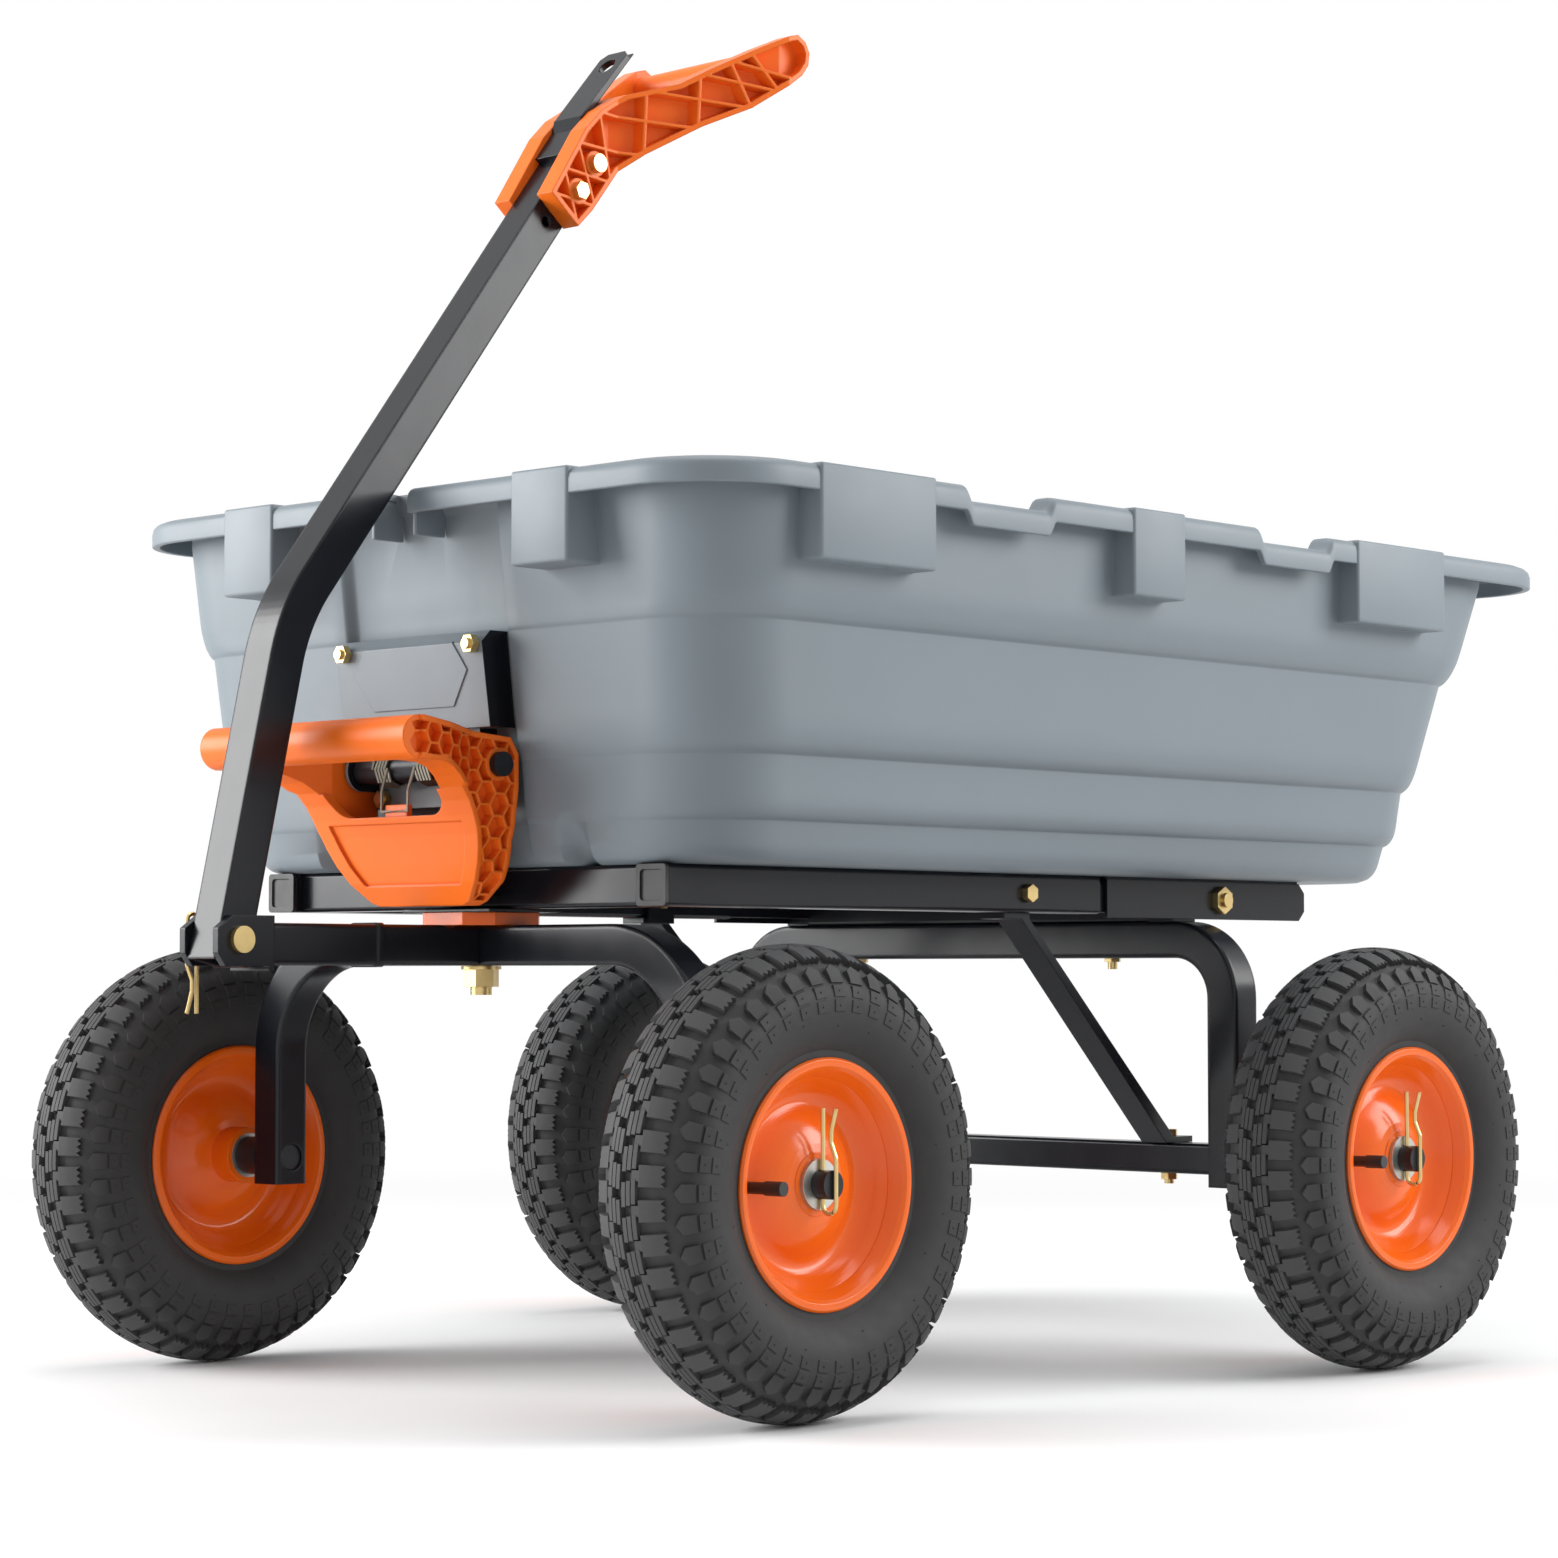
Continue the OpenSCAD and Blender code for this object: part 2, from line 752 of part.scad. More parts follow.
module rail() {
  difference() {
    union() {
      tube_along_y(rail_mid_x, rail_mid_z, rail_front_y, rail_back_y);
      block([tang_in, rail_back_y - tube, tip_z - tang_r], [tang_out, tip_y, tip_z + tang_r]);
      rod_x(tip_y, tip_z, tang_in, tang_out, tang_r);
      block([tang_in, rear_y - tube / 2, rear_arch_z], [tang_out, rear_y + tube / 2, tip_z]);
    }
    rod_x(tip_y, tip_z, tang_in - over, tang_out + over, tip_bolt_r + running);
    rod_x(rail_bolt_y, rail_mid_z, rail_x - tube - over, rail_x + over, bolt_r + seat);
  }
}

module left_rail() {
  color("#1c1d24")
    placed()
      rail();
}

module right_rail() {
  color("#1c1d24")
    placed()
      mirror([1, 0, 0])
        rail();
}

module rail_end_caps() {
  plug = tube - 2 * tube_wall - 2 * seat;
  color("#17181a")
    placed()
      both_sides()
        translate([rail_mid_x, rail_front_y, rail_mid_z])
          rotate([-90, 0, 0]) {
            translate([0, 0, -cap_t])
              difference() {
                linear_extrude(cap_t)
                  rounded_square(tube, tube_corner);
                translate([0, 0, -over])
                  linear_extrude(cap_t / 2 + over)
                    rounded_square(tube - 2 * cap_inset, tube_corner);
              }
            linear_extrude(cap_plug)
              rounded_square(plug, tube_corner - tube_wall);
          }
}

module front_cross_tube() {
  color("#1c1d24")
    placed()
      difference() {
        tube_along_x(0, rail_mid_z, rail_x - tube);
        translate([0, 0, rail_z - over])
          cylinder(h = tube_wall + 2 * over, r = kingpin_r + seat);
        translate([0, 0, rail_top - tube_wall - over])
          cylinder(h = tube_wall + 2 * over, r = king_head_r);
      }
}

module rear_cross_tube() {
  color("#1c1d24")
    placed()
      difference() {
        tube_along_x(rear_y, rear_arch_z + tube / 2, tang_in);
        both_sides()
          translate([cross_bolt_x, rear_y, rear_arch_z - over])
            cylinder(h = tube + 2 * over, r = bolt_r + seat);
      }
}

module bolster_plate() {
  color("#17181a")
    placed()
      difference() {
        block([-bolster_half_x, -bolster_half_y, bolster_low], [bolster_half_x, bolster_half_y, rail_z]);
        translate([0, 0, bolster_low - over])
          cylinder(h = rail_z - bolster_low + 2 * over, r = kingpin_r + seat);
      }
}

module striker_plate() {
  color("#1c1d24")
    placed()
      block([-striker_half, striker_front_y, striker_low],
        [striker_half, -tube / 2, striker_low + striker_t]);
}

module arch(half, top, foot, bend) {
  mid = half - tube / 2;
  both_sides() {
    translate([mid, 0, foot])
      linear_extrude(top - tube / 2 - bend - foot)
        tube_section();
    translate([mid - bend, 0, top - tube / 2 - bend])
      rotate([90, 0, 0])
        rotate_extrude(angle = 90)
          translate([bend, 0])
            tube_section();
  }
  tube_along_x(0, top - tube / 2, mid - bend);
}

module rear_arch() {
  color("#1c1d24")
    placed()
      difference() {
        translate([0, rear_y, 0])
          arch(rear_arch_x, rear_arch_z, rear_foot_z, rear_bend_r);
        both_sides() {
          rod_x(rear_y, axle_z, rear_arch_x - tube - over, rear_arch_x + over, axle_r + seat);
          translate([cross_bolt_x, rear_y, rear_arch_z - tube - over])
            cylinder(h = tube + 2 * over, r = bolt_r + seat);
        }
      }
}

module rear_axle_bar() {
  color("#1c1d24")
    placed()
      difference() {
        tube_along_x(rear_y, axle_bar_z - axle_bar / 2, rear_arch_x - tube, axle_bar);
        both_sides()
          translate([brace_x, rear_y, axle_bar_z - axle_bar - over])
            cylinder(h = axle_bar + 2 * over, r = bolt_r + seat);
      }
}

module rear_stub_axles() {
  color("#26272b")
    placed()
      both_sides()
        stub_axle(rear_arch_x, rear_wheel_x, rear_y);
}

module brace() {
  foot_front = brace_foot_y - brace_foot_len / 2;
  foot_back = brace_foot_y + brace_foot_len / 2;
  low = axle_bar_z;
  high = rail_z;
  difference() {
    union() {
      side_plate(brace_x - brace_w / 2, brace_x + brace_w / 2)
        polygon([[foot_back, low], [foot_back, low + brace_t], [foot_front + brace_t, low + brace_t],
          [brace_top_y + brace_t, high - brace_t], [brace_top_y + brace_t, high],
          [brace_top_y - brace_head_len, high], [brace_top_y - brace_head_len, high - brace_t],
          [brace_top_y - brace_t, high - brace_t], [foot_front - brace_t, low]]);
      block([rail_x - tube - lug_t, rail_bolt_y - lug_w / 2, high - brace_t],
        [rail_x - tube, rail_bolt_y + lug_w / 2, rail_top]);
      block([rail_x - tube - lug_t, rail_bolt_y - lug_w / 2, high - brace_t], [brace_x, rail_bolt_y, high]);
    }
    translate([brace_x, brace_foot_y, low - over])
      cylinder(h = brace_t + 2 * over, r = bolt_r + seat);
    rod_x(rail_bolt_y, rail_mid_z, rail_x - tube - lug_t - over, rail_x, bolt_r + seat);
  }
}

module axle_braces() {
  color("#1c1d24")
    placed()
      both_sides()
        brace();
}

module frame_bolts() {
  rail_bolt_len = tube + lug_t;
  color("goldenrod")
    placed()
      both_sides() {
        hex_bolt([brace_x, brace_foot_y, axle_bar_z - axle_bar], axle_bar + brace_t);
        hex_bolt([cross_bolt_x, rear_y, rear_arch_z - tube], 2 * tube, bolt_r, bolt_head_r, tub_bolt_head_h);
        translate([rail_x - rail_bolt_len, rail_bolt_y, rail_mid_z])
          rotate([0, 90, 0])
            hex_bolt([0, 0, 0], rail_bolt_len);
      }
}

module kingpin() {
  head_low = rail_z + tube_wall;
  stud_low = front_arch_z - tube - slide_gap - king_washer_t - king_nut_h - king_stud;
  color("goldenrod")
    placed() {
      translate([0, 0, stud_low])
        cylinder(h = head_low - stud_low, r = kingpin_r);
      translate([0, 0, head_low])
        hex(king_head_r - over, king_head_h);
    }
}

module kingpin_nut() {
  top = front_arch_z - tube - slide_gap;
  color("goldenrod")
    placed()
      difference() {
        union() {
          translate([0, 0, top - king_washer_t])
            cylinder(h = king_washer_t, r = king_washer_r);
          translate([0, 0, top - king_washer_t - king_nut_h])
            hex(king_nut_r, king_nut_h);
        }
        translate([0, 0, top - king_washer_t - king_nut_h - over])
          cylinder(h = king_washer_t + king_nut_h + 2 * over, r = kingpin_r + seat);
      }
}

// Front axle
module front_arch() {
  color("#1c1d24")
    placed()
      difference() {
        arch(front_arch_x, front_arch_z, front_foot_z, front_bend_r);
        both_sides()
          rod_x(0, axle_z, front_arch_x - tube - over, front_arch_x + over, axle_r + seat);
        translate([0, 0, front_arch_z - tube - over])
          cylinder(h = tube + 2 * over, r = kingpin_r + running);
      }
}

module front_stub_axles() {
  color("#26272b")
    placed()
      both_sides()
        stub_axle(front_arch_x, front_wheel_x, 0);
}

module tongue() {
  mid_z = tongue_top - tube / 2;
  color("#1c1d24")
    placed() {
      tube_along_y(0, mid_z, tongue_front_y, tongue_back_y);
      translate([0, seam_y - seam_w / 2, mid_z])
        rotate([-90, 0, 0])
          linear_extrude(seam_w)
            difference() {
              rounded_square(tube + 2 * seam_proud, tube_corner + seam_proud);
              rounded_square(tube - tube_wall, tube_corner - tube_wall / 2);
            }
    }
}

module ear_outline() {
  front = hinge_y - ear_nose;
  back = hinge_y + ear_tail;
  polygon([[front, ear_high - ear_cut_z], [front + ear_cut_y, ear_high], [back, ear_high], [back, ear_low],
    [front + ear_cut_y / 2, ear_low], [front, ear_low + ear_cut_z]]);
}

module hinge_bracket() {
  web_top = tongue_top - tube;
  color("#17181a")
    placed()
      difference() {
        union() {
          both_sides()
            side_plate(ear_in, ear_out)
              ear_outline();
          block([-ear_out, tongue_front_y, web_top - web_t], [ear_out, hinge_y + ear_tail, web_top]);
        }
        rod_x(hinge_y, hinge_z, -ear_out - over, ear_out + over, hinge_pin_r + running);
      }
}

module steering_pad() {
  inner = pad_half - pad_chamfer;
  color("#f4661b")
    placed()
      difference() {
        translate([0, 0, front_arch_z])
          linear_extrude(pad_t)
            polygon([[pad_half, inner], [inner, pad_half], [-inner, pad_half], [-pad_half, inner],
              [-pad_half, -inner], [-inner, -pad_half], [inner, -pad_half], [pad_half, -inner]]);
        translate([0, 0, front_arch_z - over])
          cylinder(h = pad_t + 2 * over, r = kingpin_r + running);
      }
}

module hinge_pin() {
  color("goldenrod")
    placed() {
      difference() {
        rod_x(hinge_y, hinge_z, -ear_out - pin_tail, ear_out + slide_gap, hinge_pin_r);
        translate([-ear_out - pin_tail / 2, hinge_y, hinge_z - pin_head_r])
          cylinder(h = 2 * pin_head_r, r = clip_wire_r + seat);
      }
      rod_x(hinge_y, hinge_z, ear_out + slide_gap, ear_out + slide_gap + pin_head_t, pin_head_r);
    }
}

// Spring clip on the pin's far end, hanging down beside it
module hinge_pin_clip() {
  out = hinge_pin_r + clip_wire_r + side_gap;
  color("goldenrod")
    placed()
      swept_wire([for (p = clip_path(out)) [-ear_out - pin_tail / 2, hinge_y - p[0], hinge_z - p[1]]],
        clip_wire_r);
}

// Tow handle
module along_lower() {
  translate([0, hinge_y, hinge_z])
    rotate([-lower_lean, 0, 0])
      children();
}

// Origin at the grip's pivot bolt, Z up the tube, Y to its back face
module along_upper() {
  translate([0, grip_y, grip_z])
    rotate([-upper_lean, 0, 0])
      children();
}

// One long edge of the handle's side outline, v behind the tube's middle, in the lower straight's frame
function handle_edge(v, past) = let (straight = lower_len - bend_run, r = handle_bend_r - v,
    run = upper_len - bend_run + handle_past + past)
  concat([[v, -handle_below - past]],
    [for (i = [0:bend_steps]) let (a = bend_turn * i / bend_steps)
      [handle_bend_r - r * cos(a), straight + r * sin(a)]],
    [[handle_bend_r - r * cos(bend_turn) + run * sin(bend_turn),
      straight + r * sin(bend_turn) + run * cos(bend_turn)]]);

module handle_bar(half, past) {
  front = handle_edge(-half, past);
  back = handle_edge(half, past);
  side_plate(-half, half)
    polygon(concat(back, [for (i = [len(front) - 1:-1:0]) front[i]]));
}

module handle_tube() {
  color("#1c1d24")
    placed()
      difference() {
        along_lower()
          difference() {
            handle_bar(tube / 2, 0);
            handle_bar(tube / 2 - tube_wall, over);
            rod_x(0, 0, -tube, tube, hinge_pin_r + running);
          }
        along_upper()
          for (u = [-grip_pitch, 0, grip_pitch])
            rod_x(0, u, -tube, tube, grip_bolt_r + seat);
      }
}

module tow_tongue() {
  face = -tube / 2;
  color("#17181a")
    placed()
      along_upper()
        difference() {
          side_plate(-tube / 2, tube / 2)
            polygon([[face, tow_low_u], [face, jog_u], [face - jog_v, jog_u + jog_len],
              [face - tip_v, tow_len], [face - tip_v - tow_t, tow_len],
              [face - jog_v - tow_t, jog_u + jog_len], [face - tow_t, jog_u], [face - tow_t, tow_low_u]]);
          translate([0, tube / 2, tow_hole_u])
            rotate([90, 0, 0])
              cylinder(h = 2 * tube, r = tow_hole_r);
          both_sides()
            translate([tube / 2, face, tow_len])
              rotate([90, 0, 0])
                rotate([0, 0, 45])
                  translate([-tow_tip_cut / 2, -tow_tip_cut, 0])
                    cube([tow_tip_cut * 2, tow_tip_cut * 2, tube]);
        }
}

function at_grip(points) = [for (p = points) [grip_y + p[0], grip_z + p[1]]];

module grip_side_outline(inset) {
  polygon(at_grip(inset_outline(concat(grip_low, grip_tip, grip_top), inset)));
}

// A straight rib between two places of the side view
module rib(from, to) {
  run = to - from;
  translate(from)
    rotate([0, 0, atan2(run[1], run[0])])
      translate([-truss_rib, -truss_rib / 2])
        square([norm(run) + 2 * truss_rib, truss_rib]);
}

module grip_ribs() {
  low = at_grip(concat(grip_low, [grip_tip[0]]));
  high = at_grip([for (i = [len(grip_top) - 1:-1:0]) grip_top[i]]);
  for (i = [0:len(truss_shares) - 2]) {
    near = truss_shares[i];
    far = truss_shares[i + 1];
    rib(along_line(low, near), along_line(high, far));
    rib(along_line(low, far), along_line(high, near));
  }
}

module grip_pockets() {
  difference() {
    side_plate(0, grip_half + over)
      grip_side_outline(truss_lip);
    side_plate(0, grip_half + over)
      grip_ribs();
    grip_column(cheek_half - truss_depth, grip_half - truss_depth);
    along_upper()
      for (u = [0, grip_pitch])
        rod_x(0, u, 0, grip_half, truss_boss_r);
  }
}

// Plan of the grip as half widths along Y, from the cheeks out to the cross bar
module grip_plan(cheek, bar) {
  back = grip_bar_y + 2 * grip_bar_r;
  front = grip_y - 2 * cheek_half;
  polygon([[cheek, front], [cheek, grip_flare_y], [bar, grip_bar_y - grip_bar_r / 2], [bar, back],
    [-bar, back], [-bar, grip_bar_y - grip_bar_r / 2], [-cheek, grip_flare_y], [-cheek, front]]);
}

module grip_column(cheek, bar) {
  translate([0, 0, grip_z - grip_under])
    linear_extrude(grip_under + grip_over)
      grip_plan(cheek, bar);
}

module d_grip() {
  opening_y = grip_y + grip_panel_y;
  wide = 2 * grip_half;
  bar_end = grip_half - grip_wall + over;
  color("#f4661b")
    placed()
      difference() {
        union() {
          difference() {
            intersection() {
              side_plate(-grip_half, grip_half)
                grip_side_outline(0);
              grip_column(cheek_half, grip_half);
            }
            intersection() {
              grip_column(cheek_half - grip_wall, grip_half - grip_wall);
              translate([-grip_half, opening_y, grip_z - grip_under])
                cube([wide, wide, wide + grip_under]);
            }
          }
          rod_x(grip_bar_y, grip_bar_z, -bar_end, bar_end, grip_bar_r);
        }
        both_sides()
          grip_pockets();
        along_upper()
          block([-grip_slot, -tube * 2, -tube * 2], [grip_slot, tube * 2, jog_u + jog_len]);
        along_upper()
          block([-grip_slot, -tube * 2, 0], [grip_slot, -tube / 2 - tip_v + side_gap, tow_len + tube]);
        along_upper()
          for (u = [0, grip_pitch])
            rod_x(0, u, -grip_half, grip_half, grip_bolt_r + seat);
      }
}

module grip_bolts() {
  color("goldenrod")
    placed()
      along_upper()
        rotate([0, 90, 0]) {
          cylinder(h = 2 * cheek_half, r = grip_bolt_r, center = true);
          for (s = [0, 1])
            mirror([0, 0, s])
              translate([0, 0, cheek_half])
                hex(grip_head_r, grip_head_h);
        }
}

module grip_lock_pin() {
  color("goldenrod")
    placed()
      along_upper()
        translate([0, 0, grip_pitch]) {
          rod_x(0, 0, -cheek_half - grip_head_h - pin_tail, cheek_half, grip_bolt_r);
          rod_x(0, 0, cheek_half, cheek_half + grip_head_h, grip_head_r);
          translate([-cheek_half - grip_head_h - pin_tail, 0, -ring_r + clip_wire_r])
            rotate([90, 0, 0])
              rotate_extrude()
                translate([ring_r, 0])
                  circle(r = clip_wire_r);
        }
}

// Tub
function rounded_ring(half, front, back, corner, stations) = concat(
  [for (i = [0:corner_steps]) let (a = -90 + 90 * i / corner_steps)
    [half - corner + corner * cos(a), front + corner + corner * sin(a)]],
  [for (y = stations) [half, y]],
  [for (i = [0:corner_steps]) let (a = 90 * i / corner_steps)
    [half - corner + corner * cos(a), back - corner + corner * sin(a)]],
  [for (i = [0:corner_steps]) let (a = 90 + 90 * i / corner_steps)
    [-half + corner + corner * cos(a), back - corner + corner * sin(a)]],
  [for (i = [len(stations) - 1:-1:0]) [-half, stations[i]]],
  [for (i = [0:corner_steps]) let (a = 180 + 90 * i / corner_steps)
    [-half + corner + corner * cos(a), front + corner + corner * sin(a)]],
  [for (x = front_stations) [x, front]]);

scallop_stations = [for (i = [0:scallop_steps]) scallop_x + scallop_half * (2 * i / scallop_steps - 1)];
side_stations = concat([bay_half - bay_ramp / 2, bay_half + bay_ramp / 2], scallop_stations);
front_stations = concat([for (i = [len(side_stations) - 1:-1:0]) -side_stations[i]], side_stations);

// How far the front wall stands back at a place across it, at a height above the floor
function front_in(x, h) = let (u = min(abs(abs(x) - scallop_x) / scallop_half, 1))
  (abs(x) < bay_half ? bay_depth : 0) + scallop_depth * (1 - u * u) * max(1 - h / scallop_high, 0);

dip_stations = [for (d = dip_spans) each [d[0], d[0] + dip_ramp, d[1] - dip_ramp, d[1]]];

// How far the rim drops at a place along the side
function dip_at(x, y, half) = abs(x) < half - tub_wall ? 0 :
  max([for (d = dip_spans) y > d[0] && y < d[1] ? dip_depth : 0]);

// One ring of the tub: inset from the wall lines, height, and whether it follows the dips
function tub_ring(half, front, back, corner, z, dips = false) =
  [for (p = rounded_ring(half, front, back, corner, dip_stations))
    [p[0], p[1], z - (dips ? dip_at(p[0], p[1], half) : 0)]];

function level_ring(l, inset, lift) = let (front = wall_front + l[2] + inset)
  [for (p = tub_ring(wall_half - l[1] - inset, front, wall_back - l[3] - inset, tub_corner - inset / 2,
    tub_floor + l[0] + lift))
    [p[0], p[1] + (p[1] == front ? front_in(p[0], l[0]) : 0), p[2]]];

function rim_ring(inset, z, dips = true) = tub_ring(tub_half - inset, tub_front + inset, tub_back - inset,
  rim_corner - inset / 2, z, dips);

tub_rings = concat(
  [for (l = tub_levels) level_ring(l, 0, 0)],
  [tub_ring(wall_half, wall_front, wall_back, tub_corner, under_rim, true),
   rim_ring(tub_wall, under_rim), rim_ring(tub_wall, skirt_low), rim_ring(0, skirt_low),
   rim_ring(0, rim_top - rim_round), rim_ring(rim_round / 3, rim_top - rim_round / 3),
   rim_ring(rim_round, rim_top), tub_ring(wall_half - tub_wall / 2, wall_front + tub_wall / 2,
     wall_back - tub_wall / 2, tub_corner, rim_top, true),
   tub_ring(wall_half - tub_wall, wall_front + tub_wall, wall_back - tub_wall, tub_corner - tub_wall / 2,
     rim_top - tub_wall / 2, true)],
  [for (i = [len(tub_levels) - 1:-1:0])
    level_ring(tub_levels[i], tub_wall, i == 0 ? tub_wall : tub_wall / 2)]);

module tub_shell() {
  n = len(tub_rings[0]);
  m = len(tub_rings);
  polyhedron(points = [for (r = tub_rings) each r],
    faces = concat([[for (i = [0:n - 1]) i]],
      [for (k = [0:m - 2], i = [0:n - 1]) let (j = (i + 1) % n)
        each [[k * n + i, (k + 1) * n + i, k * n + j], [k * n + j, (k + 1) * n + i, (k + 1) * n + j]]],
      [[for (i = [n - 1:-1:0]) (m - 1) * n + i]]), convexity = 10);
}

module pocket_blocks(inset, low, high) {
  both_sides() {
    for (s = pocket_spans)
      block([pocket_in_x + 2 * inset, s[0] + inset, low],
        [tub_half + pocket_proud - inset, s[1] - inset, high]);
    block([front_pocket_x - front_pocket_w / 2 + inset, tub_front - pocket_proud + inset, low],
      [front_pocket_x + front_pocket_w / 2 - inset, pocket_in_y - 2 * inset, high]);
  }
}

module tub() {
  color("#7d878c")
    placed()
      difference() {
        union() {
          tub_shell();
          pocket_blocks(0, pocket_z, rim_top);
          both_sides()
            block([notch_half, tub_front + tub_wall, cheek_low],
              [notch_half + cheek_t, wall_front + bay_depth, under_rim]);
        }
        pocket_blocks(pocket_wall, pocket_z + pocket_wall, rim_top + over);
        block([-notch_half, tub_front - tube, notch_low], [notch_half, notch_back, rim_top + over]);
        bracket_bolt_place(seat);
        both_sides()
          for (y = tub_bolt_ys)
            translate([rail_mid_x, y, tub_floor - over])
              cylinder(h = tub_wall + 2 * over, r = tub_bolt_r + seat);
      }
}

module tail_outline() {
  back = tail_front_y + tail_len;
  polygon([[tail_front_y, tail_low], [tail_front_y, tail_top], [back - tail_corner, tail_top],
    [back, tail_top - tail_corner], [back, tail_low + tail_corner], [back - tail_corner, tail_low]]);
}

module tail_angles() {
  color("#1c1d24")
    placed()
      both_sides()
        difference() {
          union() {
            side_plate(rail_x - tail_t, rail_x)
              tail_outline();
            block([rail_x - tube, tail_front_y, tail_top - tail_t],
              [rail_x - tail_t / 2, tail_front_y + tail_len - tail_corner, tub_floor]);
          }
          rod_x(tip_y, tip_z, rail_x - tail_t - over, rail_x + over, tip_bolt_r + seat);
          for (y = tub_bolt_ys)
            translate([rail_mid_x, y, tail_top - tail_t - over])
              cylinder(h = tub_floor - tail_top + tail_t + 2 * over, r = tub_bolt_r + seat);
        }
}

module tail_bolts() {
  inner_face = tang_in - side_gap;
  color("goldenrod")
    placed()
      both_sides() {
        rod_x(tip_y, tip_z, inner_face, rail_x + bolt_tail, tip_bolt_r);
        translate([rail_x, tip_y, tip_z])
          rotate([0, 90, 0])
            hex(tang_r, bolt_head_h);
        translate([inner_face - bolt_head_h, tip_y, tip_z])
          rotate([0, 90, 0])
            hex(tang_r, bolt_head_h);
      }
}

module tub_bolts() {
  low = tail_top - tail_t;
  color("goldenrod")
    placed()
      both_sides()
        for (y = tub_bolt_ys)
          translate([rail_mid_x, y, low - tub_bolt_head_h]) {
            cylinder(h = tub_floor + tub_wall - low + 2 * tub_bolt_head_h, r = tub_bolt_r);
            hex(tub_bolt_head_r, tub_bolt_head_h);
            translate([0, 0, tub_floor + tub_wall - low + tub_bolt_head_h])
              cylinder(h = tub_bolt_head_h, r = tub_bolt_head_r);
          }
}

// Dump latch
function wall_y(z) = wall_front + lookup(z - tub_floor, [for (l = tub_levels) [l[0], l[2]]]);

function bay_y(z) = wall_y(z) + bay_depth - slide_gap;

module bracket_box() {
  polygon([[bay_y(plate_top), plate_top], [plate_front + plate_stand / 2, plate_top],
    [plate_front, plate_top - plate_stand / 2], [wall_y(plate_mid) - plate_stand, plate_mid],
    [bay_y(plate_mid), plate_mid]]);
}

module bracket_bolt_place(grow) {
  both_sides() {
    translate([upper_nut_x, plate_front - nut_h - stud_proud, upper_nut_z])
      rotate([-90, 0, 0])
        cylinder(h = bracket_bolt_len + stud_proud, r = bolt_r + grow);
    translate([lower_nut_x, wall_y(plate_low) - plate_t * 4 - nut_h - stud_proud, lower_nut_z])
      rotate([-90, 0, 0])
        cylinder(h = bracket_bolt_len + stud_proud, r = bolt_r + grow);
  }
}

// The raised panel's outline on the sloping plate, as a column along Y
module plate_emboss() {
  right = emboss;
  left = [for (i = [len(emboss) - 1:-1:0]) [-emboss[i][0], emboss[i][1]]];
  intersection() {
    front_plate()
      polygon(concat(right, left));
    side_plate(-plate_half, plate_half)
      translate([-emboss_proud, 0])
        bracket_box();
  }
}

module latch_bracket() {
  mid_wall = wall_y(plate_mid);
  low_front = wall_y(plate_low) - plate_t * 4;
  color("#6f787d")
    placed()
      difference() {
        union() {
          difference() {
            union() {
              side_plate(-plate_half, plate_half)
                bracket_box();
              plate_emboss();
            }
            intersection() {
              side_plate(-plate_half + plate_t, plate_half - plate_t)
                translate([plate_t, 0])
                  bracket_box();
              block([-plate_half, plate_front, plate_mid + plate_t],
                [plate_half, wall_front + plate_half, plate_top - plate_t]);
            }
          }
          side_plate(-lug_half, lug_half)
            polygon(concat([[mid_wall - plate_t * 3, plate_mid], [low_front, flange_top],
              [low_front, plate_low], [bay_y(plate_low), plate_low]],
              [for (l = tub_levels) let (z = tub_floor + l[0])
                if (z > plate_low && z < plate_mid) [bay_y(z), z]],
              [[bay_y(plate_mid), plate_mid]]));
          both_sides() {
            rod_x(latch_y, latch_z, lug_half - plate_t, lug_half, pivot_lug_r);
            block([lug_half - plate_t, latch_y, latch_z - pivot_lug_r],
              [lug_half, wall_y(latch_z + pivot_lug_r) - plate_t, latch_z + pivot_lug_r]);
          }
        }
        rod_x(latch_y, latch_z, -lug_half - over, lug_half + over, latch_bolt_r + seat);
        side_plate(-pivot_tube_half - side_gap, pivot_tube_half + side_gap)
          translate([latch_y, latch_z])
            circle(r = pivot_lug_r + spring_wire_r);
        bracket_bolt_place(seat);
      }
}

// Carriage bolts through the tub's front wall, their heads inside and hex nuts in front
module bracket_bolts() {
  lower_y = wall_y(plate_low) - plate_t * 4 - nut_h;
  color("goldenrod")
    placed() {
      bracket_bolt_place(0);
      both_sides() {
        translate([upper_nut_x, plate_front, upper_nut_z])
          rotate([90, 0, 0])
            hex(nut_r, nut_h);
        translate([lower_nut_x, lower_y + nut_h, lower_nut_z])
          rotate([90, 0, 0])
            hex(nut_r, nut_h);
        for (at = [[upper_nut_x, plate_front - nut_h, upper_nut_z], [lower_nut_x, lower_y, lower_nut_z]])
          translate([at[0], at[1] + bracket_bolt_len, at[2]])
            rotate([-90, 0, 0])
              cylinder(h = tub_bolt_head_h, r = tub_bolt_head_r);
      }
    }
}

module latch_pivot() {
  color("#26272b")
    placed() {
      rod_x(latch_y, latch_z, -arm_out - slide_gap, arm_out + slide_gap, latch_bolt_r);
      difference() {
        rod_x(latch_y, latch_z, -pivot_tube_half, pivot_tube_half, pivot_tube_r);
        rod_x(latch_y, latch_z, -pivot_tube_half - over, pivot_tube_half + over, latch_bolt_r - over);
      }
      both_sides()
        rod_x(latch_y, latch_z, arm_out + slide_gap, arm_out + slide_gap + latch_head_t, latch_head_r);
    }
}

